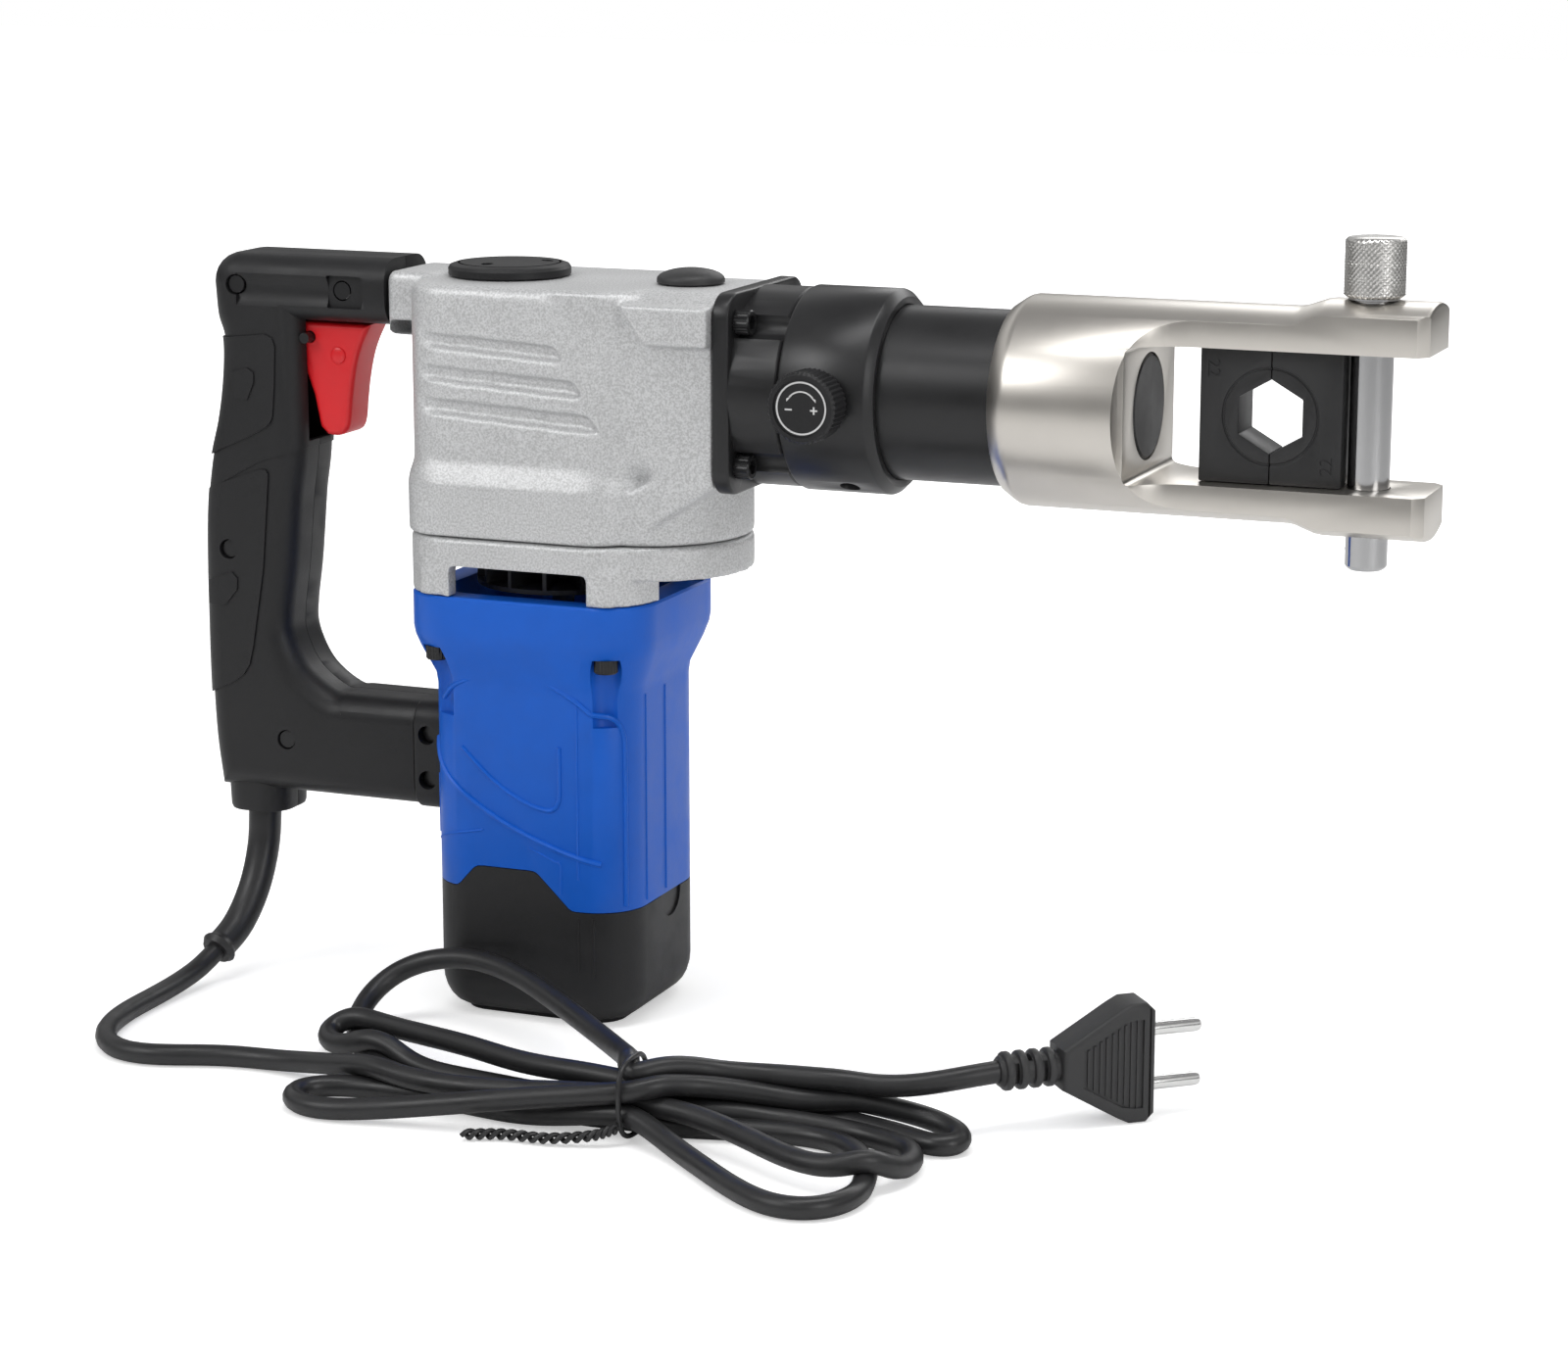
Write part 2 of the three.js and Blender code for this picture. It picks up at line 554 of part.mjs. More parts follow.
function makeHead() {
  const flare = headEnd - 46;
  let head = turnedX([[headX, tubeR + 1.6], [headX + 5, headR - 0.6], [headX + 7, headR], [flare, headR],
    [flare + 10, armR], [headEnd, armR]]);
  // through slot for the dies, open at the far end
  const slot = roundRect(2 * headLen, 2 * slotHalf, slotCorner, slotX + headLen, axisZ, 3);
  head = cut(head, prismY(slot, -far, far));
  // flats either side of the fork, run out with a cutter radius
  const cutter = 24;
  for (const side of [-1, 1]) {
    const points = [V2(headEnd + 9, side * (armHalf + 60)), V2(headEnd + 9, side * armHalf)];
    for (let i = 0; i <= 8; i += 1) {
      const a = Math.PI / 2 * i / 8;
      points.push(V2(slotX + 21 - cutter * Math.sin(a), side * (armHalf + cutter - cutter * Math.cos(a))));
    }
    points.push(V2(slotX + 21 - cutter, side * (armHalf + 60)));
    head = cut(head, prismZ(new THREE.Shape(side < 0 ? points.reverse() : points), axisZ - 60, axisZ + 60));
    const bevel = outline([[headEnd - 4, side * (armHalf + 1)], [headEnd + 1, side * (armHalf - 4)],
      [headEnd + 1, side * (armHalf + 1)]]);
    head = cut(head, prismZ(bevel, axisZ - 60, axisZ + 60));
  }
  head = cut(head, rodX(tubeR + GAP, 0, headX + tubeSeat + GAP, 0, axisZ, 48),
    rodX(rodR + GAP, 0, slotX + slotCorner + 1, 0, axisZ, 48), rodZ(pinR + 0.4, 0, far, pinX, 0));
  add('head_fork', 'nickel', head);
}

// die half: a block with half of the hexagon, its points up and down
function makeDie(name, x0, x1) {
  const r = hexFlats / Math.sqrt(3);
  const edge = 0.5;
  const body = prismY(roundRect(x1 - x0, dieH, edge, (x0 + x1) / 2, axisZ, 1), -dieT / 2, dieT / 2);
  const points = [];
  for (let i = 0; i < 6; i += 1) {
    const a = Math.PI / 6 + Math.PI / 3 * i;
    points.push(V2(jointX + r * Math.cos(a), axisZ + r * Math.sin(a)));
  }
  add(name, 'blackMetal', cut(body, prismY(new THREE.Shape(points), -far, far)));
}

function makeCrossPin() {
  const seat = axisZ + armR + 0.4;
  const low = axisZ - armR - 11;
  const gripR = pinR + 3.2;
  const ballR = 1.3;
  const ballZ = low + 6.5;
  const pin = turnedZ([[low, pinR - 1], [low + 1, pinR], [seat, pinR], [seat, pinR + 1.5],
    [seat + 0.8, pinR + 1.5], [seat + 0.8, gripR], [seat + 19, gripR], [seat + 20, gripR - 0.8]], pinX);
  add('cross_pin', 'chrome', cut(pin, rodX(ballR + GAP, pinX - 20, pinX - 3, 0, ballZ, 16)));
  const ball = new THREE.SphereGeometry(ballR, 14, 10).translate(pinX - pinR + 1, 0, ballZ);
  add('detent_ball', 'steel', solid(ball));
}

// ---------------------------------------------------------------- handle
// side outline of the handle, drawn in by `inset`
function handleShape(inset) {
  const i = inset;
  const back = smooth([[-134.5 + i, handleTop - 8], [-133.5 + i, handleTop - 23.5],
    [-131 + i, handleTop - 32.5], [-131.6 + i, handleTop - 46.5], [-134 + i, grip(0.73)],
    [-138.2 + i, grip(0.606)], [-140.8 + i, grip(0.431)], [-141.4 + i, grip(0.102)],
    [-140.6 + i, armLow + 22.7], [-138 + i, armLow + i]], 14);
  const inner = smooth([[-88, armTop - i], [-95 - i * 0.4, armTop + 4 - i],
    [-101 - i * 0.8, armTop + 10 - i * 0.4], [-105.4 - i, grip(0.146)], [-105.4 - i, grip(0.212)],
    [-103 - i, grip(0.336)], [-100.6 - i, grip(0.518)], [-98 - i, grip(0.672)]], 10);
  // the outer shape is drawn long at both joints, where it is cut square
  const reach = i === 0 ? 2 * edgeRound : 0;
  const arm = lugEnd - GAP - i + reach;
  const lowerArm = handleEnd - i + reach;
  return new THREE.Shape([V2(arm, handleUnder + i), V2(arm, handleTop - i),
    V2(-125.5 + i * 0.4, handleTop - i), ...back, V2(lowerArm, armLow + i), V2(lowerArm, armTop - i),
    ...inner, V2(-98 - i, handleUnder + i)].reverse());
}

function makeHandle() {
  const [px, pz] = pivot;
  const face = handleHalf;
  const outer = cut(prismY(handleShape(0), -face, face, edgeRound),
    block(lugEnd - GAP, far, -far, far, axisZ, far), block(handleEnd, far, -far, far, -far, axisZ));
  const inner = prismY(handleShape(handleWall), handleWall - face, face - handleWall, edgeRound - handleWall);
  const collar = prismZ(roundRect(25, 27, 9, -124.3, 0), armLow - 8.3, armLow + 4);
  const pinBoss = cut(rodY(4.4, 2 - face, face - 2, px, pz, 16), block(px - 9, px + 9, -9, 9, pz - 9, pz + 9));
  let shell = join(cut(join(outer, collar), inner), pinBoss);
  for (const [x, z] of handleScrews) {
    shell = join(shell, rodY(4.6, 2 - face, face - 2, x, z, 16));
  }
  for (const [x, z] of handleScrews) {
    shell = cut(shell, rodY(screwR + GAP, -far, 9, x, z, 12), rodY(screwHeadR + 0.4, -far, 4 - face, x, z, 16));
  }
  // slot for the trigger, cord entry, and the recess around the screw in the upper arm
  const slotY = triggerHalf + 0.5;
  const slotZ = handleUnder - 44.5;
  const [recessX, recessZ] = handleScrews[1];
  const recessR = 5.6;
  shell = cut(shell, block(-102, -60, -slotY, slotY, slotZ, handleUnder + 0.1),
    block(-101.5, -90, -slotY, slotY, slotZ, handleUnder + handleWall + 1),
    rodZ(6.5, 40, armLow - GAP, -126, 0, 20), rodY(triggerPinR + GAP, -13, 13, px, pz, 16),
    rodY(recessR, -far, 1.5 - face, recessX, recessZ, 20),
    block(recessX, recessX + 9.5, -far, 1.5 - face, recessZ - recessR, recessZ + recessR));
  add('handle_shell_near', 'blackPlastic', shell.intersect(block(-far, far, -far, -GAP / 2, -far, far)));
  add('handle_shell_far', 'blackPlastic', shell.intersect(block(-far, far, GAP / 2, far, -far, far)));
  handleScrews.forEach(([x, z], i) => {
    const headY = i === 1 ? 2.6 - face : 1.6 - face;
    const screw = join(rodY(screwHeadR, headY, 3.7 - face, x, z, 16), rodY(screwR, 3.6 - face, 7, x, z, 12));
    add(`handle_screw_${i + 1}`, 'steel', screw);
  });
}

function makeTrigger() {
  const [px, pz] = pivot;
  const top = handleUnder - 0.6;
  const front = smooth([[-72.5, top], [-76, top - 6.9], [-78.3, top - 13.4], [-80, top - 21.4],
    [-81.1, top - 29.4], [-81.9, top - 36.4], [-83.5, top - 39.9], [-87, top - 41.4], [-91, top - 41.2]], 14);
  const shape = new THREE.Shape([V2(px, top), ...front, V2(-94, top - 38.4), V2(-96.5, top - 26.4),
    V2(px - 4, top - 14.4), V2(px - 4, pz), V2(px - 3, top)].reverse());
  const lever = prismY(shape, -triggerHalf, triggerHalf, 1.6);
  add('trigger', 'redPlastic', cut(lever, rodY(triggerPinR + GAP, -far, far, px, pz, 16)));
  add('trigger_pin', 'steel', rodY(triggerPinR, -12.6, 12.6, px, pz, 16));
  add('switch_body', 'blackPlastic', prismY(roundRect(16, 36, 2, -118.3, handleUnder - 35), -10.5, 10.5));
}

// block that ties the lower arm to the motor housing, held by two screws across it
function makeBracket() {
  const x0 = handleEnd + GAP;
  const x1 = x0 + bracketLen;
  const x = x0 + 5.5;
  const face = handleHalf;
  let bracket = prismX(roundRect(2 * face, armTop - armLow, edgeRound - 1, 0, (armTop + armLow) / 2), x0, x1);
  bracketHoles.forEach((above, i) => {
    const z = armLow + above;
    bracket = cut(bracket, rodY(screwR + GAP, -far, 10, x, z, 12),
      rodY(screwHeadR + 0.2, -far, 6 - face, x, z, 16));
    const screw = join(rodY(screwHeadR - 0.2, 3.5 - face, 5.7 - face, x, z, 16),
      rodY(screwR, 5.6 - face, 8, x, z, 12));
    add(`bracket_screw_${i + 1}`, 'steel', screw);
  });
  add('handle_bracket', 'blackPlastic', bracket);
}

// ---------------------------------------------------------------- mains lead
const sleevePath = [[-126, 0, 61.5], [-126, -2.5, 46], [-126.8, -9, 31], [-128.5, -19, 19],
  [-131, -31.5, 11.5]];
const leadPath = [[-131.25, -32.4, 11], [-133.9, -46, 5.6], [-135.5, -70, 4], [-135, -95, 4], [-128, -117, 4],
  [-113, -130, 4], [-97, -128, 4], [-80, -122, 4], [-51.4, -116.8, 4]];
const tailPath = [[96.7, -119, 18.7], [117, -111, 16.5], [146, -105.5, 15.5], [172, -100, 17.5],
  [187, -91.5, 20], [196, -84, 20.8]];

function makeCord() {
  // sleeve: plain rubber tube with a bead at its free end
  const bead = placed(rodZ(7, -1.4, 1.4, 0, 0, 20), [-61, 24, 0], [-130.6, -29.9, 12.4]);
  const sleeve = join(tube(sleevePath, 6.1, 10, 12), bead);
  add('cord_sleeve', 'rubber', cut(sleeve, block(-far, far, -far, far, -far, 0)));
  add('cord_lead', 'rubber', tube(leadPath, cordR, 20));
  add('cord_tail', 'rubber', tube(tailPath, cordR, 12));
  // the tied bundle: flat loops on the floor and the part that stands up behind them
  const loops = prismZ(stadium(-4, -114, 154, -148, 47), 0, 11.2);
  const raised = prismZ(stadium(-22, -80, 61, -118, 34), 0, 36);
  add('cord_hank', 'rubber', join(loops, raised));
}

// plug: built along +X, then turned to its heading; the two contacts stand one above the other
function makePlug() {
  const place = (body) => placed(body, [0, 0, plugTurn], [196.25, -83.78, plugHalf]);
  const neck = 21;
  const bodyEnd = neck + 30;
  const neckR = 5.2;
  const ribR = 6.6;
  const ribs = [[0, neckR]];
  for (let i = 0; i < 4; i += 1) {
    const x = 1.5 + 5 * i;
    ribs.push([x, neckR], [x, ribR], [x + 3, ribR], [x + 3, neckR]);
  }
  ribs.push([neck + 2, neckR]);
  const lower = [[neck, -7], [neck + 20, -plugHalf + 2], [neck + 24, -plugHalf], [bodyEnd, -plugHalf],
    [bodyEnd + 3, -plugHalf + 3]];
  const fan = outline([...lower, ...lower.map(([x, z]) => [x, -z]).reverse()]);
  let body = join(turnedX(ribs, 0, 16), prismY(fan, -plugT / 2, plugT / 2, 2));
  for (const side of [-1, 1]) {
    body = cut(body, rodX(contactR + GAP, bodyEnd - 6, far, 0, side * contactPitch / 2, 16));
    const contact = turnedX([[bodyEnd - 6 + GAP, contactR], [bodyEnd + contactOut - 1.5, contactR],
      [bodyEnd + contactOut, contactR - 1]], side * contactPitch / 2, 16);
    add(side < 0 ? 'plug_contact_low' : 'plug_contact_high', 'chrome', place(contact));
  }
  add('plug_body', 'rubber', place(body));
}

makeMotor();
makeCastings();
makeGearTrain();
makeScrews();
makeTopPlugs();
makePump();
makeValveBlock();
makeCylinder();
makeHead();
makeDie('moving_die', movingDieX, movingDieX + dieW);
makeDie('fixed_die', fixedDieX, fixedDieEnd);
makeCrossPin();
makeHandle();
makeTrigger();
makeBracket();
makeCord();
makePlug();

export default group;
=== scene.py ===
# %% [markdown]
# # A mains-powered hydraulic crimping tool
#
# The real tool is a blue motor housing standing on a black end cap, with silver castings on top,
# a black handle behind, a black pump and cylinder in front and a nickel-plated fork that holds two
# hexagonal dies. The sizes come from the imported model, which is loaded first and never changed.
# Each piece below either replaces one plain node or adds something that rides on it.

# %% Load the frame
import math

import bmesh
import bpy
import numpy as np
from mathutils import Matrix, Vector


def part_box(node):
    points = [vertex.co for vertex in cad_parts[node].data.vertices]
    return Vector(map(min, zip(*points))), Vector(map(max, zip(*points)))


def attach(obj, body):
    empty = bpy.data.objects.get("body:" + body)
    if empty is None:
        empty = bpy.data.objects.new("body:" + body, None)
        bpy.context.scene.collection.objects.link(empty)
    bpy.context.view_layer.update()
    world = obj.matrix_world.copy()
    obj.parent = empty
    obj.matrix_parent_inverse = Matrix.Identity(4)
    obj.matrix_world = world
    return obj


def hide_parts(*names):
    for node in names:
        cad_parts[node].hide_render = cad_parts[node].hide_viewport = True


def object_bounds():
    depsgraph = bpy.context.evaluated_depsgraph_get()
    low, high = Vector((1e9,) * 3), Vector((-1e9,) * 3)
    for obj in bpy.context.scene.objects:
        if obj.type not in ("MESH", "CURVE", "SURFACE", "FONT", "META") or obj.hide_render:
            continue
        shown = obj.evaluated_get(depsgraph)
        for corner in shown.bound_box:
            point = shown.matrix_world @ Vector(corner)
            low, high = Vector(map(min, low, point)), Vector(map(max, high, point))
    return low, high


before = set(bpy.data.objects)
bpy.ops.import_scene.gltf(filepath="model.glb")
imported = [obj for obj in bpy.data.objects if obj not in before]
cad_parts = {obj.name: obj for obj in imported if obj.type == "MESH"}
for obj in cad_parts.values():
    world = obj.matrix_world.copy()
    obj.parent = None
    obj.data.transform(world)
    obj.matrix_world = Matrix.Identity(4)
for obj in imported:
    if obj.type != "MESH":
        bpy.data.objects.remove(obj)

cad_low, cad_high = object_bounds()
MM = 0.001
print("frame size in mm:", [round(side / MM, 1) for side in cad_high - cad_low])

# %% [markdown]
# ## The camera
#
# A tool this long looks right from a metre or more away through a long lens, which keeps its far
# end from shrinking. The camera stands to the right, a little above the tool, and looks slightly
# down, so the rotation is given as a tilt and a heading instead of aiming it at a target.

# %% Camera
camera_data = bpy.data.cameras.new("studio_camera")
camera_data.lens = 87.75
camera_data.sensor_width = 36.0
camera = bpy.data.objects.new("studio_camera", camera_data)
camera.location = (0.5832, -1.2300, 0.4227)
camera.rotation_euler = (math.radians(77.5), 0, math.radians(22))
bpy.context.scene.collection.objects.link(camera)
bpy.context.scene.camera = camera

# %% [markdown]
# ## Working in millimetres
#
# Drawings of tools are in millimetres and Blender works in metres. The shapes are therefore built
# in a bmesh in millimetres, and one function, `made`, turns each into an object in metres, gives
# it a finish and ties it to the body that it moves with. Everything goes through it, so no piece
# is forgotten.

# %% Places taken from the frame
def box_mm(node):
    """Lowest and highest corner of a node of the frame, in millimetres."""
    low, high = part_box(node)
    return low / MM, high / MM


tube_low, tube_high = box_mm("cylinder_tube")
AXIS_Z = (tube_low.z + tube_high.z) / 2
print("height of the hydraulic axis:", round(AXIS_Z, 2), "mm")


# %% Turning a bmesh into a piece
def made(name, bm, finish, body, stands_for=(), sharp=32):
    """Object in metres from a bmesh in millimetres, shaded smooth except along its sharp edges."""
    bmesh.ops.scale(bm, verts=bm.verts, vec=(MM, MM, MM))
    bmesh.ops.recalc_face_normals(bm, faces=bm.faces)
    mesh = bpy.data.meshes.new(name)
    bm.to_mesh(mesh)
    bm.free()
    mesh.polygons.foreach_set("use_smooth", [True] * len(mesh.polygons))
    mesh.set_sharp_from_angle(angle=math.radians(sharp))
    mesh.materials.append(finish)
    piece = bpy.data.objects.new(name, mesh)
    bpy.context.scene.collection.objects.link(piece)
    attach(piece, body)
    if stands_for:
        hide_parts(*stands_for)
    print(name, len(mesh.polygons), "faces")
    return piece


# %% [markdown]
# ## Turned, cut and drawn shapes
#
# Most of this tool was made on three machines. A lathe gives round pieces, which `turned` makes by
# spinning a profile. A mill gives plates and slots, which `slab` makes from an outline. Holes and
# pockets are cut with `carve`, which uses the exact Boolean solver and can take several cutters at
# once. `soften` rounds the edges that are left sharp, because a perfectly sharp edge never catches
# the light.

# %% Shape helpers
MILL = {
    "X": Matrix(((0, 0, 1), (1, 0, 0), (0, 1, 0))),
    "Y": Matrix(((1, 0, 0), (0, 0, -1), (0, 1, 0))),
    "Z": Matrix.Identity(3),
}
LATHE = {**MILL, "Y": Matrix(((0, 1, 0), (0, 0, 1), (1, 0, 0)))}


def turned(profile, axis="X", at=(0, 0, 0), sides=96, closed=False):
    """Solid of revolution. The profile is pairs of (distance along the axis, radius)."""
    bm = bmesh.new()
    points = [bm.verts.new((radius, 0, along)) for along, radius in profile]
    pairs = list(zip(points, points[1:] + points[:1] if closed else points[1:]))
    edges = [bm.edges.new(pair) for pair in pairs]
    bmesh.ops.spin(
        bm, geom=points + edges, axis=(0, 0, 1), angle=math.tau, steps=sides, use_merge=True
    )
    bmesh.ops.remove_doubles(bm, verts=bm.verts, dist=1e-4)
    ends = [loop for loop in bm.edges if len(loop.link_faces) == 1]
    if ends:
        bmesh.ops.holes_fill(bm, edges=ends, sides=0)
    bmesh.ops.recalc_face_normals(bm, faces=bm.faces)
    bmesh.ops.transform(bm, verts=bm.verts, matrix=Matrix.Translation(at) @ LATHE[axis].to_4x4())
    return bm


def slab(points, low, high, axis="Z"):
    """Straight solid over an outline. Drawn in X and Y, in X and Z for axis Y, in Y and Z for axis X."""
    bm = bmesh.new()
    face = bm.faces.new([bm.verts.new((x, y, 0)) for x, y in points])
    top = bmesh.ops.extrude_face_region(bm, geom=[face])["geom"]
    lifted = [v for v in top if isinstance(v, bmesh.types.BMVert)]
    bmesh.ops.translate(bm, verts=lifted, vec=(0, 0, high - low))
    bmesh.ops.recalc_face_normals(bm, faces=bm.faces)
    start = {"X": (low, 0, 0), "Y": (0, high, 0), "Z": (0, 0, low)}[axis]
    bmesh.ops.transform(bm, verts=bm.verts, matrix=Matrix.Translation(start) @ MILL[axis].to_4x4())
    return bm


def rod(radius, low, high, axis, at=(0, 0, 0), sides=48):
    return turned([(low, radius), (high, radius)], axis, at, sides)


def oblong(x0, y0, x1, y1):
    """Outline of a sharp rectangle, from one corner to the opposite one."""
    return [(x0, y0), (x1, y0), (x1, y1), (x0, y1)]


def rounded(width, depth, radius, centre=(0, 0), steps=8):
    """Outline of a rounded rectangle."""
    points = []
    for sx, sy, start in ((1, 1, 0), (-1, 1, 90), (-1, -1, 180), (1, -1, 270)):
        for step in range(steps + 1):
            turn = math.radians(start + 90 * step / steps)
            x = centre[0] + sx * (width / 2 - radius) + radius * math.cos(turn)
            y = centre[1] + sy * (depth / 2 - radius) + radius * math.sin(turn)
            points.append((x, y))
    return points


def flowing(points, count, loop=False):
    """Points along a smooth curve through the given ones (Catmull-Rom), in 2-D or 3-D."""
    p = [Vector(q).to_3d() if len(q) == 2 else Vector(q) for q in points]
    flat = len(points[0]) == 2
    spans = len(p) if loop else len(p) - 1
    out = []
    for i in range(count if loop else count + 1):
        t = i / count * spans
        k = min(int(t), spans - 1)
        f = t - k
        if loop:
            a, b, c, d = (p[(k + j) % len(p)] for j in (-1, 0, 1, 2))
        else:
            b, c = p[k], p[k + 1]
            a = p[k - 1] if k else b * 2 - c
            d = p[k + 2] if k + 2 < len(p) else c * 2 - b
        q = 0.5 * (
            2 * b + (c - a) * f + (2 * a - 5 * b + 4 * c - d) * f * f
            + (3 * b - a - 3 * c + d) * f ** 3
        )
        out.append((q.x, q.y) if flat else q)
    return out


def joined(*parts):
    """One bmesh that holds several, which are used up."""
    whole = parts[0]
    for part in parts[1:]:
        mesh = bpy.data.meshes.new("part")
        part.to_mesh(mesh)
        part.free()
        whole.from_mesh(mesh)
        bpy.data.meshes.remove(mesh)
    return whole


def through_modifier(bm, kind, other=None, **settings):
    """The bmesh after one modifier, which is applied at once."""
    work = bpy.data.objects.new("work", bpy.data.meshes.new("work"))
    bm.to_mesh(work.data)
    bm.free()
    bpy.context.scene.collection.objects.link(work)
    tool = None
    modifier = work.modifiers.new("work", kind)
    if other is not None:
        tool = bpy.data.objects.new("cutter", bpy.data.meshes.new("cutter"))
        other.to_mesh(tool.data)
        other.free()
        bpy.context.scene.collection.objects.link(tool)
        modifier.object = tool
    for key, value in settings.items():
        setattr(modifier, key, value)
    shaped = work.evaluated_get(bpy.context.evaluated_depsgraph_get())
    result = bmesh.new()
    result.from_mesh(shaped.to_mesh())
    shaped.to_mesh_clear()
    for spare in (work, tool):
        if spare is not None:
            mesh = spare.data
            bpy.data.objects.remove(spare)
            bpy.data.meshes.remove(mesh)
    return result


def carve(bm, *cutters, operation="DIFFERENCE"):
    """Cuts away every cutter, or welds it on for operation UNION."""
    result = through_modifier(
        bm, "BOOLEAN", joined(*cutters), operation=operation, solver="EXACT", use_self=len(cutters) > 1
    )
    bmesh.ops.remove_doubles(result, verts=result.verts, dist=0.004)
    bmesh.ops.dissolve_degenerate(result, dist=0.004, edges=result.edges)
    return result


def weld(bm, *parts):
    return carve(bm, *parts, operation="UNION")


def soften(bm, width, segments=2, angle=35, where=None):
    """Rounds the edges that are sharper than the angle, or those of them that `where` picks."""
    bmesh.ops.dissolve_limit(
        bm, angle_limit=math.radians(0.4), verts=bm.verts, edges=bm.edges
    )
    sharp = [
        e for e in bm.edges
        if len(e.link_faces) == 2 and e.calc_face_angle(0) > math.radians(angle)
        and (where is None or where((e.verts[0].co + e.verts[1].co) / 2))
    ]
    bmesh.ops.bevel(
        bm, geom=sharp, offset=width, segments=segments, profile=0.5, affect="EDGES",
        clamp_overlap=True, material=-1,
    )
    return bm


def cast(bm, voxel, smoothing=6):
    """Runs every touching shape into one skin and rounds it all over, as a casting is."""
    bm = through_modifier(bm, "REMESH", mode="VOXEL", voxel_size=voxel, adaptivity=0)
    for _ in range(smoothing):
        bmesh.ops.smooth_vert(
            bm, verts=bm.verts, factor=0.5, use_axis_x=True, use_axis_y=True, use_axis_z=True
        )
    return bm


def swept(points, radius, sides=10):
    """Closed round bar along a line of points."""
    bm = bmesh.new()
    line = [Vector(p) for p in points]
    side = Vector((0, 0, 1)) if abs((line[1] - line[0]).normalized().z) < 0.9 else Vector((1, 0, 0))
    rings = []
    for i, p in enumerate(line):
        ahead = (line[min(i + 1, len(line) - 1)] - line[max(i - 1, 0)]).normalized()
        across = ahead.cross(side).normalized()
        side = across.cross(ahead).normalized()
        r = radius(i / (len(line) - 1)) if callable(radius) else radius
        ring = [
            bm.verts.new(p + (across * math.cos(a) + side * math.sin(a)) * r)
            for a in (math.tau * k / sides for k in range(sides))
        ]
        rings.append([bm.edges.new((ring[k], ring[(k + 1) % sides])) for k in range(sides)])
    for first, second in zip(rings, rings[1:]):
        bmesh.ops.bridge_loops(bm, edges=first + second)
    bmesh.ops.holes_fill(bm, edges=[e for e in bm.edges if len(e.link_faces) == 1], sides=0)
    bmesh.ops.recalc_face_normals(bm, faces=bm.faces)
    return bm


# %% [markdown]
# ## Finishes
#
# No real surface has one colour and one gloss. Moulded plastic has a fine spark-eroded grain,
# castings have a coarse one, and handling polishes and dulls both in patches. One function builds
# all of them: a fine noise raises the surface, a broad noise moves the colour and the roughness a
# little, and what is the same everywhere is set straight on the shader.

# %% The finish function
def finish(name, colour, rough, metallic=0.0, tone=0.10, swing=0.08, patch=0.025,
           grain=0.0006, relief=0.00002, streak=(1, 1, 1), speckle=0.0, **sockets):
    """Material with a grain of that size and relief in metres, and broad patches of that size."""
    material = bpy.data.materials.new(name)
    material.use_nodes = True
    material.diffuse_color = (*colour, 1)
    nodes, links = material.node_tree.nodes, material.node_tree.links
    shader = nodes["Principled BSDF"]
    shader.inputs["Metallic"].default_value = metallic
    for key, value in sockets.items():
        shader.inputs[key.replace("_", " ")].default_value = value
    place = nodes.new("ShaderNodeTexCoord")
    turn = nodes.new("ShaderNodeMapping")
    turn.inputs["Scale"].default_value = streak
    links.new(place.outputs["Object"], turn.inputs["Vector"])

    def noise_of(size, detail):
        texture = nodes.new("ShaderNodeTexNoise")
        texture.inputs["Scale"].default_value = 1 / size
        texture.inputs["Detail"].default_value = detail
        texture.inputs["Roughness"].default_value = 0.6
        links.new(turn.outputs["Vector"], texture.inputs["Vector"])
        return texture.outputs["Fac"]

    broad, fine = noise_of(patch, 4), noise_of(grain, 2)
    shade = nodes.new("ShaderNodeValToRGB")
    shade.color_ramp.elements[0].position = 0.3
    shade.color_ramp.elements[1].position = 0.7
    shade.color_ramp.elements[0].color = (*(c * (1 - tone) for c in colour), 1)
    shade.color_ramp.elements[1].color = (*(min(1, c * (1 + tone)) for c in colour), 1)
    links.new(broad, shade.inputs["Fac"])
    colour_out = shade.outputs["Color"]
    if speckle:
        dots = nodes.new("ShaderNodeValToRGB")
        dots.color_ramp.elements[0].position = 0.36
        dots.color_ramp.elements[1].position = 0.62
        dots.color_ramp.elements[0].color = (*[1 - speckle] * 3, 1)
        dots.color_ramp.elements[1].color = (1, 1, 1, 1)
        links.new(fine, dots.inputs["Fac"])
        both = nodes.new("ShaderNodeMix")
        both.data_type = "RGBA"
        both.blend_type = "MULTIPLY"
        both.inputs["Factor"].default_value = 1
        links.new(colour_out, both.inputs["A"])
        links.new(dots.outputs["Color"], both.inputs["B"])
        colour_out = both.outputs["Result"]
    links.new(colour_out, shader.inputs["Base Color"])
    gloss = nodes.new("ShaderNodeMapRange")
    gloss.inputs["From Min"].default_value = 0.3
    gloss.inputs["From Max"].default_value = 0.7
    gloss.inputs["To Min"].default_value = rough - swing
    gloss.inputs["To Max"].default_value = rough + swing
    links.new(broad, gloss.inputs["Value"])
    links.new(gloss.outputs["Result"], shader.inputs["Roughness"])
    bump = nodes.new("ShaderNodeBump")
    bump.inputs["Strength"].default_value = 1.0
    bump.inputs["Distance"].default_value = relief
    links.new(fine, bump.inputs["Height"])
    links.new(bump.outputs["Normal"], shader.inputs["Normal"])
    return material


# %% [markdown]
# ## The finishes of this tool
#
# Blue and black housings are glass-filled nylon with a fine texture. The castings carry a metallic
# silver paint, whose flakes show as light and dark grains. The hydraulic parts are blackened
# steel, the fork is nickel plated over a blasted surface, and the pin is ground and polished.

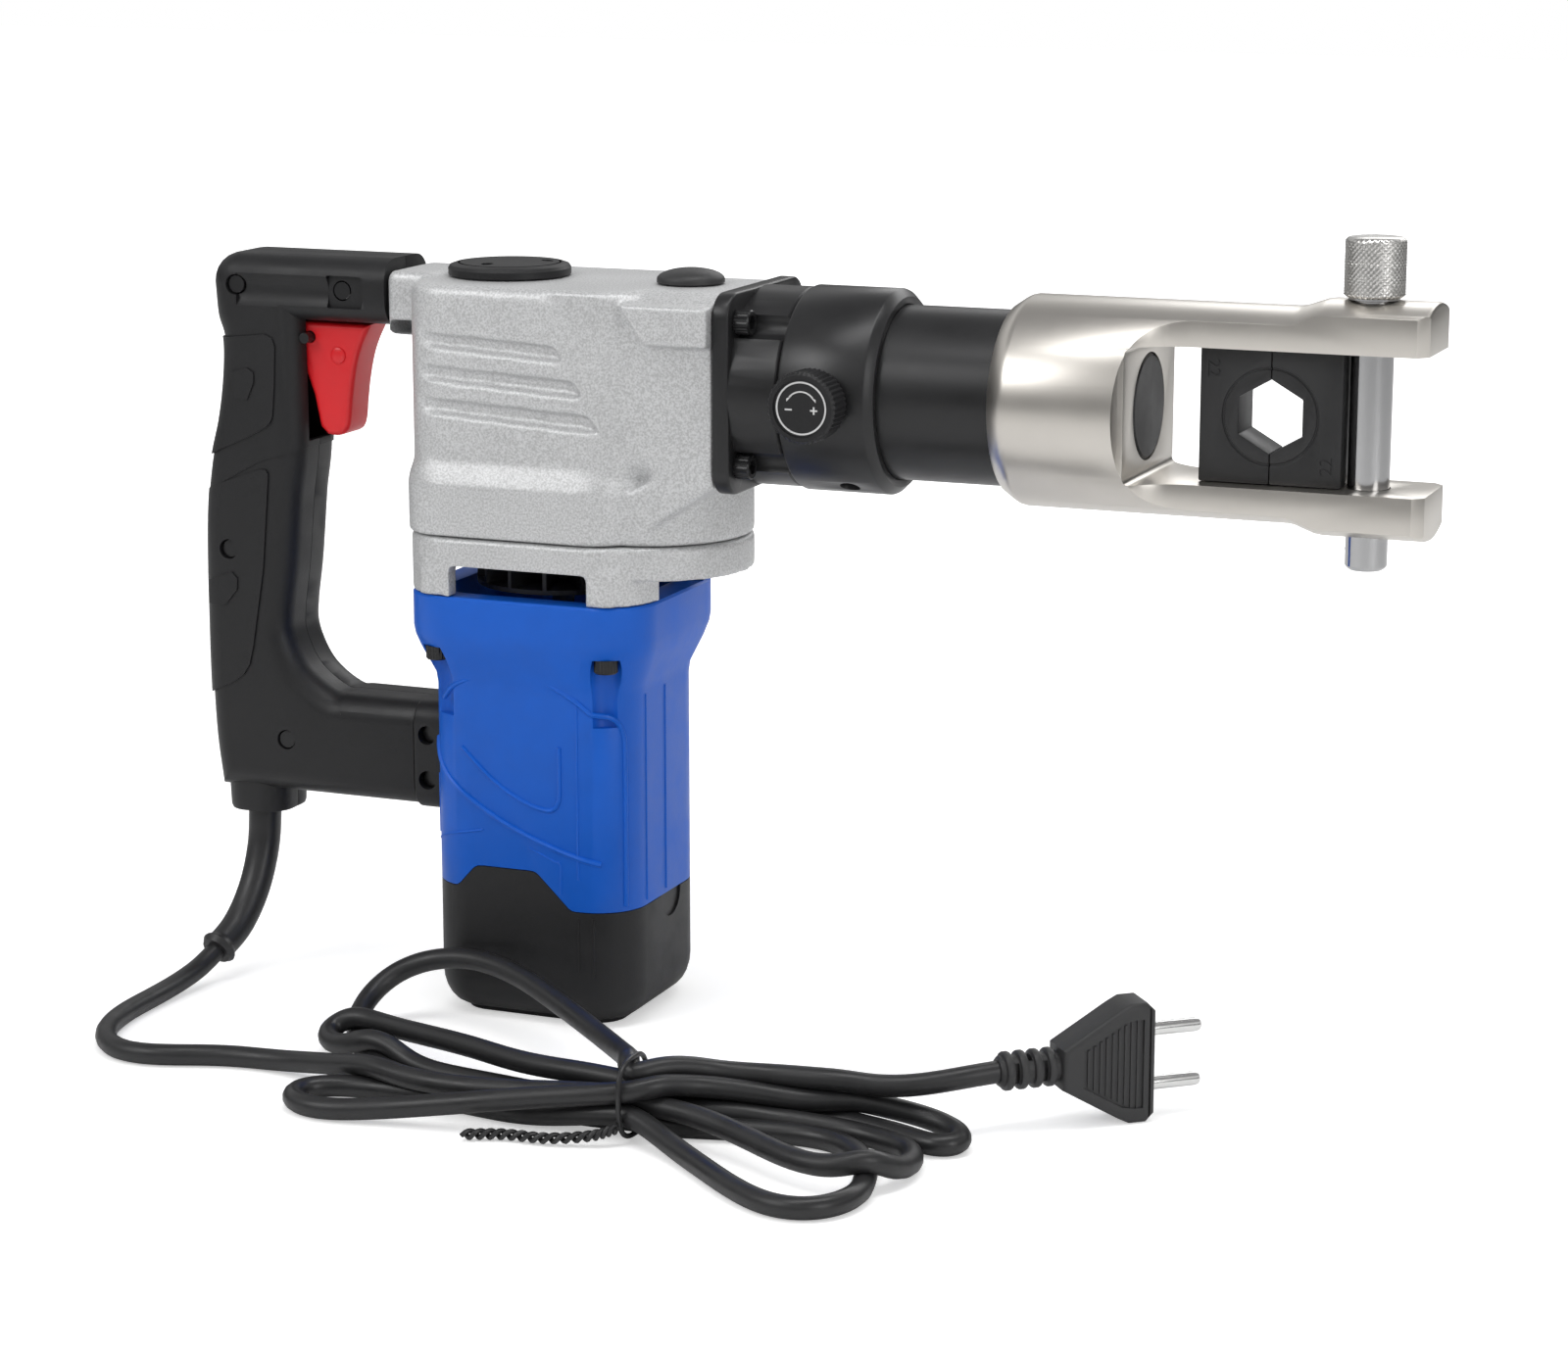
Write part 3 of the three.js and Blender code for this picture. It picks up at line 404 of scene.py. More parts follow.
# %% Finishes
black_plastic = finish("black_plastic", (0.012, 0.012, 0.013), 0.45, grain=0.0007, relief=0.00004,
                       Specular_IOR_Level=0.38)
blue_plastic = finish("blue_plastic", (0.003, 0.105, 0.56), 0.40, tone=0.06, grain=0.0008,
                      relief=0.00003, Specular_IOR_Level=0.32)
red_plastic = finish("red_plastic", (0.72, 0.010, 0.016), 0.36, tone=0.05, grain=0.0006,
                     relief=0.00002)
silver_paint = finish("silver_paint", (0.66, 0.665, 0.67), 0.46, metallic=0.35, tone=0.04,
                      swing=0.05, grain=0.00075, relief=0.00006, speckle=0.30)
black_steel = finish("black_steel", (0.020, 0.020, 0.021), 0.34, metallic=0.25, swing=0.06,
                     grain=0.0005, relief=0.000012)
die_steel = finish("die_steel", (0.030, 0.030, 0.031), 0.44, metallic=0.3, grain=0.0004,
                   relief=0.00001)
screw_steel = finish("screw_steel", (0.018, 0.018, 0.019), 0.28, metallic=0.4, swing=0.05,
                     grain=0.0004, relief=0.00001)
nickel = finish("nickel", (0.66, 0.63, 0.585), 0.33, metallic=1.0, tone=0.03, swing=0.015,
                patch=0.03, grain=0.0006, relief=0.000004)
knurled_nickel = finish("knurled_nickel", (0.66, 0.65, 0.63), 0.34, metallic=1.0, tone=0.04,
                        grain=0.0005, relief=0.00001)
polished_steel = finish("polished_steel", (0.47, 0.47, 0.475), 0.14, metallic=1.0, tone=0.02,
                        swing=0.03, grain=0.0008, relief=0.000002)
bright_steel = finish("bright_steel", (0.50, 0.50, 0.51), 0.30, metallic=1.0, tone=0.05)
contact_plating = finish("contact_plating", (0.78, 0.78, 0.77), 0.20, metallic=1.0, tone=0.02,
                         swing=0.03)
cord_rubber = finish("cord_rubber", (0.018, 0.018, 0.019), 0.40, tone=0.12, patch=0.012,
                     grain=0.0008, relief=0.00003)
plug_rubber = finish("plug_rubber", (0.030, 0.030, 0.031), 0.50, grain=0.0009, relief=0.00005)
laminations = finish("laminations", (0.22, 0.21, 0.20), 0.45, metallic=0.9,
                     streak=(1, 1, 30), grain=0.004, relief=0.00004)
copper_bars = finish("copper_bars", (0.72, 0.36, 0.20), 0.34, metallic=1.0)
carbon = finish("carbon", (0.03, 0.03, 0.03), 0.6)
seal_rubber = finish("seal_rubber", (0.05, 0.05, 0.04), 0.5)
print_white = finish("print_white", (0.62, 0.62, 0.62), 0.6)

# %% [markdown]
# ## Finishes on the pieces that stay
#
# Many nodes of the frame already have the right shape, because they are small, plain or inside
# the tool. They only need their finish, which goes in the object's own material slots.

# %% Finishes on the frame
KEPT = {
    laminations: ("stator", "armature"),
    copper_bars: ("commutator",),
    carbon: ("carbon_brush_near", "carbon_brush_far"),
    seal_rubber: ("ram_seal",),
    black_plastic: ("cooling_fan", "switch_body"),
    bright_steel: (
        "bearing_lower", "bearing_upper", "gear_bearing_lower", "gear_bearing_upper",
        "drive_gear", "eccentric_shaft", "return_spring", "pump_plunger",
    ),
    screw_steel: (
        "handle_screw_1", "handle_screw_2", "handle_screw_3", "handle_screw_4",
        "bracket_screw_1", "bracket_screw_2", "trigger_pin",
    ),
}


def dress(node, material):
    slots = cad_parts[node].data.materials
    slots.clear()
    slots.append(material)


for material, nodes_kept in KEPT.items():
    for node in nodes_kept:
        dress(node, material)

# %% [markdown]
# ## Studio
#
# A pale floor, a bright surround and three large softboxes. The key light stands high on the left,
# a long one hangs over the hydraulic axis so that the round parts get a clean band of light, and a
# weaker one fills the right. The surround is a little darker than the lights, or polished metal
# would have nothing to reflect.

# %% Floor, surround and lights
floor_mesh = bpy.data.meshes.new("studio_floor")
bm = bmesh.new()
bmesh.ops.create_grid(bm, x_segments=2, y_segments=2, size=6)
bmesh.ops.translate(bm, verts=bm.verts, vec=(0, 0, cad_low.z))
bm.to_mesh(floor_mesh)
bm.free()
floor_paper = finish("floor_paper", (0.90, 0.90, 0.90), 0.85, tone=0.01, patch=0.5, relief=0.0)
floor_shader = floor_paper.node_tree.nodes["Principled BSDF"]
floor_shader.inputs["Emission Color"].default_value = (1, 1, 1, 1)
# only the camera sees the glow, which grows with the distance so that the paper has no far edge
floor_nodes = floor_paper.node_tree.nodes
place = floor_nodes.new("ShaderNodeNewGeometry")
distance = floor_nodes.new("ShaderNodeVectorMath")
distance.operation = "LENGTH"
fade = floor_nodes.new("ShaderNodeMapRange")
fade.inputs["From Min"].default_value = 0.35
fade.inputs["From Max"].default_value = 1.5
fade.inputs["To Min"].default_value = 0.44
fade.inputs["To Max"].default_value = 1.0
floor_rays = floor_nodes.new("ShaderNodeLightPath")
glow = floor_nodes.new("ShaderNodeMath")
glow.operation = "MULTIPLY"
floor_link = floor_paper.node_tree.links.new
floor_link(place.outputs["Position"], distance.inputs[0])
floor_link(distance.outputs["Value"], fade.inputs["Value"])
floor_link(fade.outputs["Result"], glow.inputs[0])
floor_link(floor_rays.outputs["Is Camera Ray"], glow.inputs[1])
floor_link(glow.outputs["Value"], floor_shader.inputs["Emission Strength"])
floor_mesh.materials.append(floor_paper)
studio_floor = bpy.data.objects.new("studio_floor", floor_mesh)
bpy.context.scene.collection.objects.link(studio_floor)

surround = bpy.data.worlds.new("surround")
surround.use_nodes = True
bpy.context.scene.world = surround
backdrop = surround.node_tree.nodes["Background"]
backdrop.inputs["Color"].default_value = (1, 1, 1, 1)
backdrop.inputs["Strength"].default_value = 0.50
seen = surround.node_tree.nodes.new("ShaderNodeBackground")
seen.inputs["Color"].default_value = (1, 1, 1, 1)
rays = surround.node_tree.nodes.new("ShaderNodeLightPath")
pick = surround.node_tree.nodes.new("ShaderNodeMixShader")
world_out = surround.node_tree.nodes["World Output"]
# what shiny metal reflects: dark low down, a bright stretch above it, grey overhead
mirrored_sky = surround.node_tree.nodes.new("ShaderNodeBackground")
heading = surround.node_tree.nodes.new("ShaderNodeTexCoord")
split = surround.node_tree.nodes.new("ShaderNodeSeparateXYZ")
sky = surround.node_tree.nodes.new("ShaderNodeValToRGB")
sky.color_ramp.elements[0].position = 0.0
sky.color_ramp.elements[0].color = (0.05, 0.05, 0.05, 1)
sky.color_ramp.elements[1].position = 1.0
sky.color_ramp.elements[1].color = (0.25, 0.25, 0.26, 1)
for height, bright in ((0.16, 0.10), (0.34, 0.55), (0.52, 0.75), (0.66, 0.30)):
    stop = sky.color_ramp.elements.new(height)
    stop.color = (bright, bright, bright, 1)
shiny = surround.node_tree.nodes.new("ShaderNodeMixShader")
surround.node_tree.links.new(heading.outputs["Generated"], split.inputs[0])
surround.node_tree.links.new(split.outputs["Z"], sky.inputs["Fac"])
surround.node_tree.links.new(sky.outputs["Color"], mirrored_sky.inputs["Color"])
surround.node_tree.links.new(rays.outputs["Is Glossy Ray"], shiny.inputs["Fac"])
surround.node_tree.links.new(backdrop.outputs["Background"], shiny.inputs[1])
surround.node_tree.links.new(mirrored_sky.outputs["Background"], shiny.inputs[2])
surround.node_tree.links.new(rays.outputs["Is Camera Ray"], pick.inputs["Fac"])
surround.node_tree.links.new(shiny.outputs["Shader"], pick.inputs[1])
surround.node_tree.links.new(seen.outputs["Background"], pick.inputs[2])
surround.node_tree.links.new(pick.outputs["Shader"], world_out.inputs["Surface"])
bpy.context.scene.view_settings.view_transform = "Standard"


def softbox(name, place, width, height, watts, aim=(0.06, 0, 0.15)):
    lamp = bpy.data.lights.new(name, "AREA")
    lamp.shape = "RECTANGLE"
    lamp.size, lamp.size_y, lamp.energy = width, height, watts
    light = bpy.data.objects.new(name, lamp)
    light.location = place
    light.rotation_euler = (Vector(aim) - Vector(place)).to_track_quat("-Z", "Y").to_euler()
    bpy.context.scene.collection.objects.link(light)


softbox("key_light", (-0.9, -1.3, 1.3), 0.9, 0.7, 9)
softbox("fill_light", (1.5, -0.9, 0.7), 0.6, 0.9, 5)
softbox("axis_light", (0.25, -0.15, 1.5), 1.6, 0.35, 9)
softbox("back_light", (0.3, 1.5, 1.0), 1.4, 0.5, 5)

# %% [markdown]
# ## The mains lead
#
# The lead leaves the handle through a rubber sleeve, turns along the floor, and is folded into a
# tied bundle of three loops to each side before it runs on to the plug. A cord can't be drawn
# stretch by stretch, because its loops lie on each other. So a rough route is laid first, and then
# the cord settles: it smooths its own bends, stays on the floor, rests against the motor and keeps
# one diameter away from itself.

# %% Route of the lead
CORD_R = 3.8
TIE_X, TIE_Y, TIE_Z = 86.0, -132.0, 13.0
PACK = 2 * CORD_R + 0.15
MOUTH = (-131.0, -31.5, 11.5)


def at_tie(turn):
    """Place of one strand in the tied bundle: one in the middle, six round it."""
    if turn is None:
        return (TIE_X, TIE_Y, TIE_Z)
    a = math.radians(turn)
    return (TIE_X, TIE_Y - PACK * math.sin(a), TIE_Z + PACK * math.cos(a))


route = [
    MOUTH, (-133.9, -46, 5.6), (-135.5, -70, 3.8), (-135, -95, 3.8), (-128, -117, 3.8),
    (-113, -130, 3.8), (-97, -128, 3.8), (-80, -120, 3.8), (-56, -117.5, 3.8), (-30, -125, 8),
    (-3, -134, 10), (30, -138, 11), at_tie(None),
    (122, -140, 10), (149, -156, 9), (168, -162, 8), (182, -153, 5), (186, -134, 3.8),
    (178, -117, 3.8), (159, -112, 3.8), (132, -116, 6), at_tie(-120),
    (50, -121, 6), (25, -115, 5), (-5, -109, 4), (-32, -103, 4), (-50, -97, 5), (-55, -87, 7),
    (-42, -81, 9), (-19, -93, 12), (13, -106, 14), (42, -119, 15), at_tie(-60),
    (115, -112, 9), (143, -101, 4), (171, -111, 3.8), (189, -118, 3.8), (196, -106, 4),
    (180, -96, 6), (162, -99, 9), (143, -106, 12), (118, -114, 15), (101, -123, 17), at_tie(60),
    (54, -145, 13), (27, -150, 9), (0, -154, 5), (-19, -159, 3.8), (-34, -153, 3.8),
    (-37, -141, 3.8), (-25, -132, 3.8), (-10, -131, 3.8), (15, -132, 3.8), (50, -137, 4),
    at_tie(120),
    (109, -150, 4), (137, -174, 3.8), (158, -188, 3.8), (174, -184, 3.8), (180, -163, 3.8),
    (171, -138, 3.8), (155, -122, 3.8), (132, -121, 3.8), (108, -125, 4), at_tie(180),
    (50, -130, 3.8), (20, -126, 3.8), (-10, -116, 3.8), (-33, -98, 3.8), (-46, -82, 4.5),
    (-52, -67, 8), (-51, -54, 14), (-44, -47, 20), (-31, -44, 24), (-15, -45, 25.5),
    (6, -53, 23.5), (33, -72, 20), (57, -92, 18), (78, -116, 19.5), at_tie(0),
    (99, -118, 18.5), (117, -111, 16.5), (146, -105.5, 15.5), (172, -100, 17.5), (187, -91.5, 20),
    (196.3, -83.8, 20.8),
]
tied = [i for i, p in enumerate(route) if p[0] == TIE_X]


# %% [markdown]
# ## Letting it settle
#
# The route becomes a chain of short links. In each round every link is pulled toward its place on
# the route, toward the middle of its neighbours, off the floor and off every other strand. After a
# few hundred rounds nothing moves any more. The whole chain is one array, so this takes seconds.

# %% Settling
def settle(points, held, spacing=4.0, rounds=420):
    dense = np.array(flowing(points, 24 * (len(points) - 1)))
    run = np.concatenate([[0], np.cumsum(np.linalg.norm(np.diff(dense, axis=0), axis=1))])
    count = int(run[-1] / spacing)
    even = np.linspace(0, run[-1], count + 1)
    chain = np.stack([np.interp(even, run, dense[:, k]) for k in range(3)], 1)
    target = chain.copy()
    pull = np.full(len(chain), 0.012)
    for index in held:
        nearest = int(round(run[24 * index] / run[-1] * count))
        pull[nearest] = 0.6
        target[nearest] = points[index]
    for end in (0, 1, 2, -3, -2, -1):
        pull[end] = 1.0
    order = np.arange(len(chain))
    apart = np.abs(order[:, None] - order[None, :]) > 8
    wall = -36.2 - CORD_R
    for step in range(rounds):
        soft = chain.copy()
        soft[2:-2] += 0.30 * (
            (chain[1:-3] + chain[3:-1]) * 4 - chain[:-4] - chain[4:] - 6 * chain[2:-2]
        ) / 6
        soft[1:-1] += 0.04 * (soft[2:] + soft[:-2] - 2 * soft[1:-1])
        chain = soft + pull[:, None] * (target - soft)
        gaps = chain[:, None, :] - chain[None, :, :]
        far = np.sqrt((gaps ** 2).sum(2)) + 1e-6
        near = apart & (far < PACK)
        push = np.where(near, (PACK - far) / far * 0.5, 0)
        chain += (gaps * push[:, :, None]).sum(1) * 0.5 * (pull < 1)[:, None]
        chain[:, 2] = np.maximum(chain[:, 2], CORD_R + 0.1)
        beside = (np.abs(chain[:, 0]) < 44) & (chain[:, 1] > wall)
        chain[beside, 1] = wall
    return chain


settled = settle(route, tied)

lead_curve = bpy.data.curves.new("mains_lead", "CURVE")
lead_curve.dimensions = "3D"
lead_curve.bevel_depth = CORD_R * MM
lead_curve.bevel_resolution = 5
lead_curve.resolution_u = 3
lead_curve.use_fill_caps = True
spline = lead_curve.splines.new("NURBS")
spline.points.add(len(settled) - 1)
for point, p in zip(spline.points, settled):
    point.co = (*(p * MM), 1)
spline.order_u = 4
spline.use_endpoint_u = True
lead_curve.materials.append(cord_rubber)
mains_lead = bpy.data.objects.new("mains_lead", lead_curve)
bpy.context.scene.collection.objects.link(mains_lead)
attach(mains_lead, "tool")
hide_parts("cord_lead", "cord_tail", "cord_hank")

# %% [markdown]
# ## The fork
#
# The fork is one steel forging: a turned barrel whose front half is milled flat on both sides and
# slotted through, which leaves two arms for the dies and the cross pin. It is made the same way
# here, so the curved run-out of the cutter appears by itself where the flat meets the barrel.

# %% Fork
head_low, head_high = box_mm("head_fork")
HEAD_X, HEAD_END, ARM_R = head_low.x, head_high.x, (head_high.z - head_low.z) / 2
BARREL_R, ARM_HALF, CUTTER_R = 36.2, 17.5, 24.0
pin_low, pin_high = box_mm("cross_pin")
PIN_X = (pin_low.x + pin_high.x) / 2
moving_low, moving_high = box_mm("moving_die")
fixed_low, fixed_high = box_mm("fixed_die")
SLOT_HALF = (moving_high.z - moving_low.z) / 2 + 0.3
SLOT_X = moving_low.x - 20.3
TUBE_R = (tube_high.z - tube_low.z) / 2
FAR = 300.0  # cutters this long pass through anything
WIDE = 60.0  # and these pass through the housings and the handle

flare = HEAD_END - 46
barrel = turned(
    [(HEAD_X, TUBE_R + 1.4), (HEAD_X + 0.6, TUBE_R + 2.4), (HEAD_X + 4.6, BARREL_R - 0.9),
     (HEAD_X + 5.8, BARREL_R - 0.3), (HEAD_X + 7.2, BARREL_R), (flare - 1, BARREL_R),
     (flare + 1.5, BARREL_R + 0.35), (flare + 8.5, ARM_R - 0.35), (flare + 11, ARM_R),
     (HEAD_END - 1.4, ARM_R), (HEAD_END - 0.4, ARM_R - 0.4), (HEAD_END, ARM_R - 1.4)],
    at=(0, 0, AXIS_Z), sides=144,
)
slot_cut = slab(
    rounded(2 * (HEAD_END - SLOT_X), 2 * SLOT_HALF, 2, (HEAD_END, AXIS_Z)), -FAR, FAR, "Y"
)
flats = []
for side in (-1, 1):
    run_out = [(HEAD_END + 9, side * 80), (HEAD_END + 9, side * ARM_HALF)]
    for step in range(17):
        a = math.radians(90 * step / 16)
        run_out.append((SLOT_X + 21 - CUTTER_R * math.sin(a),
                        side * (ARM_HALF + CUTTER_R - CUTTER_R * math.cos(a))))
    run_out.append((SLOT_X + 21 - CUTTER_R, side * 80))
    flats.append(slab(run_out, AXIS_Z - 60, AXIS_Z + 60))
    flats.append(slab(
        [(HEAD_END - 4.5, side * (ARM_HALF + 1)), (HEAD_END + 1, side * (ARM_HALF - 4.8)),
         (HEAD_END + 1, side * (ARM_HALF + 1))], AXIS_Z - 60, AXIS_Z + 60))
fork = carve(barrel, slot_cut)
fork = carve(fork, *flats)
fork = carve(fork, rod(7.4, -FAR, FAR, "Z", (PIN_X, 0, AXIS_Z)),
             rod(TUBE_R + 0.3, 0, HEAD_X + 12.3, "X", (0, 0, AXIS_Z), 96),
             rod(18.3, 0, SLOT_X + 3, "X", (0, 0, AXIS_Z), 96))
soften(fork, 0.7, 3, angle=30)
made("fork_forging", fork, nickel, "tool", ["head_fork"], sharp=28)

# %% [markdown]
# ## The dies
#
# Two hardened blocks with half of a hexagon each. The parting line runs through two of its points,
# a turned groove round the hexagon marks the pressed area, and each half is stamped with its width
# across flats. The second half goes in the other way round, so its figure stands on its head.

# %% Dies
def figures(text, size, place, turn):
    """Sunken figures as a cutter for the near face, drawn in X and Z."""
    curve = bpy.data.curves.new("figures", "FONT")
    curve.body, curve.size, curve.extrude = text, size, 0.5
    curve.align_x, curve.align_y = "CENTER", "CENTER"
    holder = bpy.data.objects.new("figures", curve)
    bpy.context.scene.collection.objects.link(holder)
    bpy.context.view_layer.update()
    shaped = holder.evaluated_get(bpy.context.evaluated_depsgraph_get())
    bm = bmesh.new()
    bm.from_mesh(shaped.to_mesh())
    shaped.to_mesh_clear()
    bpy.data.objects.remove(holder)
    bpy.data.curves.remove(curve)
    bmesh.ops.remove_doubles(bm, verts=bm.verts, dist=1e-4)
    bmesh.ops.rotate(bm, verts=bm.verts, matrix=Matrix.Rotation(math.radians(turn), 3, "Z"))
    bmesh.ops.rotate(bm, verts=bm.verts, matrix=Matrix.Rotation(math.radians(90), 3, "X"))
    bmesh.ops.translate(bm, verts=bm.verts, vec=place)
    return bm


JOINT_X = (moving_high.x + fixed_low.x) / 2
HEX_R = 21.6 / math.sqrt(3)
die_half = (moving_high.y - moving_low.y) / 2
hexagon = [
    (JOINT_X + HEX_R * math.cos(math.radians(30 + 60 * k)),
     AXIS_Z + HEX_R * math.sin(math.radians(30 + 60 * k))) for k in range(6)
]
for name, node, low, high, turn, body in (
    ("die_sliding", "moving_die", moving_low, moving_high, -90, "sliding_die"),
    ("die_fixed", "fixed_die", fixed_low, fixed_high, 90, "tool"),
):
    middle = ((low.x + high.x) / 2, AXIS_Z)
    die = slab(rounded(high.x - low.x, high.z - low.z, 0.6, middle, 3), -die_half, die_half, "Y")
    grooves = [
        turned([(y0, 15.7), (y0, 16.5), (y1, 16.5), (y1, 15.7)], "Y", (JOINT_X, 0, AXIS_Z), 96, True)
        for y0, y1 in ((-die_half - 1, -die_half + 0.6), (die_half - 0.6, die_half + 1))
    ]
    die = carve(die, slab(hexagon, -FAR, FAR, "Y"))
    die = carve(die, *grooves)
    soften(die, 0.3, 2, angle=50)
    outer = 4.6 if turn < 0 else -4.6
    stamp_x = (low.x if turn < 0 else high.x) + outer
    stamp_z = AXIS_Z + (15.5 if turn < 0 else -15.5)
    die = carve(die, figures("22", 6.2, (stamp_x, -die_half - 0.2, stamp_z), turn))
    made(name, die, die_steel, body, [node])

# %% [markdown]
# ## The cross pin
#
# The pin closes the fork. Its shank is ground and polished, its head is diamond knurled so that
# oily fingers can pull it, and a sprung ball near the lower end keeps it in. A knurl is two sets of
# slanting V-grooves, which is exactly how the surface is moved here: each point sinks by its
# distance from the nearer groove.

# %% Cross pin
def knurled(radius, low, high, axis, at, pitches, depth, slant=True):
    """Cylinder with a diamond knurl, or with straight ridges when slant is False."""
    across = 4 * pitches
    step = math.tau * radius / across
    rows = max(1, round((high - low) / step)) if slant else 1
    profile = [(low, radius - 1.1)]
    profile += [(low + 0.9 + (high - low - 1.8) * i / rows, radius) for i in range(rows + 1)]
    profile += [(high, radius - 1.1)]
    bm = turned(profile, "Z", (0, 0, 0), across)
    for v in bm.verts:
        r = math.hypot(v.co.x, v.co.y)
        if r < radius - 0.5:
            continue
        around = math.atan2(v.co.y, v.co.x) / math.tau * pitches
        along = (v.co.z - low - 0.9) / (4 * step) if slant else 0
        near = min(abs((around + along + 0.5) % 1 - 0.5), abs((around - along + 0.5) % 1 - 0.5))
        v.co.xy *= (radius - depth * (1 - 2 * near)) / r
    turn = {"Z": Matrix.Identity(4), "Y": Matrix.Rotation(math.radians(90), 4, "X")}[axis]
    bmesh.ops.transform(bm, verts=bm.verts, matrix=Matrix.Translation(at) @ turn)
    return bm


seat = AXIS_Z + ARM_R + 0.8
shank = turned(
    [(pin_low.z, 5.6), (pin_low.z + 0.5, 6.3), (pin_low.z + 1.4, 7), (seat - 0.8, 7), (seat - 0.8, 8.3),
     (seat - 0.6, 8.5), (seat + 2, 8.5)], "Z", (PIN_X, 0, 0), 64)
ball_low, ball_high = box_mm("detent_ball")
ball_z = (ball_low.z + ball_high.z) / 2
shank = carve(shank, rod(1.6, -20, -3, "X", (PIN_X, 0, ball_z), 32))
made("pin_shank", shank, polished_steel, "lock_pin", ["cross_pin"])
grip = knurled(10.2, seat + 0.1, pin_high.z, "Z", (PIN_X, 0, 0), 34, 0.55)
made("pin_grip", grip, knurled_nickel, "lock_pin", sharp=50)
ball = bmesh.new()
bmesh.ops.create_uvsphere(ball, u_segments=32, v_segments=20, radius=1.3)
bmesh.ops.translate(ball, verts=ball.verts, vec=(ball_low + ball_high) / 2)
made("pin_ball", ball, polished_steel, "lock_pin", ["detent_ball"])

# %% [markdown]
# ## Cylinder, valve block and pump body
#
# Three blackened round pieces follow each other along the axis. They are plain turnings, so all
# the care goes into their edges: the broad chamfer of the valve block, the narrow gap between the
# block and the pump, and the pockets that clear the four flange screws.

# %% Black hydraulic pieces
block_low, block_high = box_mm("valve_block")
BLOCK_R = (block_high.z - block_low.z) / 2
pump_low, pump_high = box_mm("pump_body")
FLANGE_HALF, FLANGE_T = (pump_high.z - pump_low.z) / 2, 6.1
tube = turned(
    [(tube_low.x, 25.4), (tube_low.x, TUBE_R - 0.5), (tube_low.x + 0.5, TUBE_R),
     (tube_high.x - 0.5, TUBE_R), (tube_high.x, TUBE_R - 0.5), (tube_high.x, 25.4)],
    at=(0, 0, AXIS_Z), sides=128, closed=True)
made("cylinder", tube, black_steel, "tool", ["cylinder_tube"])

valve_at = ((block_low.x + 14.7), 0, AXIS_Z)
ring = turned(
    [(block_low.x, BLOCK_R - 1.2), (block_low.x + 0.4, BLOCK_R - 0.4), (block_low.x + 1.2, BLOCK_R),
     (block_high.x - 3.1, BLOCK_R), (block_high.x - 2.5, BLOCK_R - 0.25),
     (block_high.x - 0.5, BLOCK_R - 2.25), (block_high.x, BLOCK_R - 2.8)],
    at=(0, 0, AXIS_Z), sides=128)
port = rod(3.6, -60, -BLOCK_R + 9, "Z", sides=40)
bmesh.ops.rotate(port, verts=port.verts, matrix=Matrix.Rotation(math.radians(-28), 3, "X"))
bmesh.ops.translate(port, verts=port.verts, vec=(block_low.x + 20, 0, AXIS_Z))
ring = carve(ring, rod(TUBE_R + 0.3, block_high.x - 12, FAR, "X", (0, 0, AXIS_Z), 128),
             rod(3, 0, FAR, "X", (0, 0, AXIS_Z), 32), rod(4.3, -FAR, -11, "Y", valve_at, 32))
ring = carve(ring, port)
soften(ring, 0.4, 2, angle=50)
made("valve_ring", ring, black_steel, "tool", ["valve_block"])

flange = slab(rounded(2 * FLANGE_HALF, 2 * FLANGE_HALF, 9, (0, AXIS_Z), 10),
              pump_low.x, pump_low.x + FLANGE_T, "X")
soften(flange, 0.8, 3, angle=60)
pump = turned(
    [(pump_low.x + 1, FLANGE_HALF - 0.1), (pump_high.x - 0.9, FLANGE_HALF - 0.1),
     (pump_high.x, FLANGE_HALF - 1)], at=(0, 0, AXIS_Z), sides=128)
pump = weld(pump, flange)
screw_boxes = [box_mm(f"flange_screw_{i}") for i in (1, 2, 3, 4)]
screw_spots = [((low.y + high.y) / 2, (low.z + high.z) / 2) for low, high in screw_boxes]
pockets = [rod(5.6, pump_low.x + FLANGE_T, FAR, "X", (0, y, z), 40) for y, z in screw_spots]
bores = [rod(2.8, 0, FAR, "X", (0, y, z), 24) for y, z in screw_spots]
pump = carve(pump, *pockets)
pump = carve(pump, *bores, rod(4.3, 0, FAR, "X", (0, 0, AXIS_Z), 32))
soften(pump, 0.35, 2, angle=50)
made("pump_casing", pump, black_steel, "tool", ["pump_body"])

# %% [markdown]
# ## The release knob
#
# Turning this knob lets the oil back, so it needs a grip and a sign of its direction. The rim has
# straight ridges. Its face carries a pale ring and an arc with an arrowhead at each end, with a
# plus and a minus instead of words.

# %% Release knob
knob_low, knob_high = box_mm("release_knob")
KNOB_R = (knob_high.z - knob_low.z) / 2
knob_at = ((knob_low.x + knob_high.x) / 2, 0, (knob_low.z + knob_high.z) / 2)
knob_back = knob_low.y + 12
knob = knurled(KNOB_R, -knob_back, -knob_low.y, "Y", knob_at, 44, 0.45, slant=False)
dish = rod(KNOB_R - 2.4, knob_low.y - 1, knob_low.y + 0.7, "Y", knob_at, 96)
knob = carve(knob, dish)
knob = weld(knob, rod(4, knob_back - 1, -12, "Y", knob_at, 32))
made("valve_knob", knob, black_plastic, "knob", ["release_knob"])


def flat_arc(radius, width, start, end, steps=40):
    outer = [(radius + width / 2, start + (end - start) * k / steps) for k in range(steps + 1)]
    inner = [(radius - width / 2, a) for _, a in reversed(outer)]
    return [(knob_at[0] + r * math.cos(math.radians(a)), knob_at[2] + r * math.sin(math.radians(a)))
            for r, a in outer + inner]


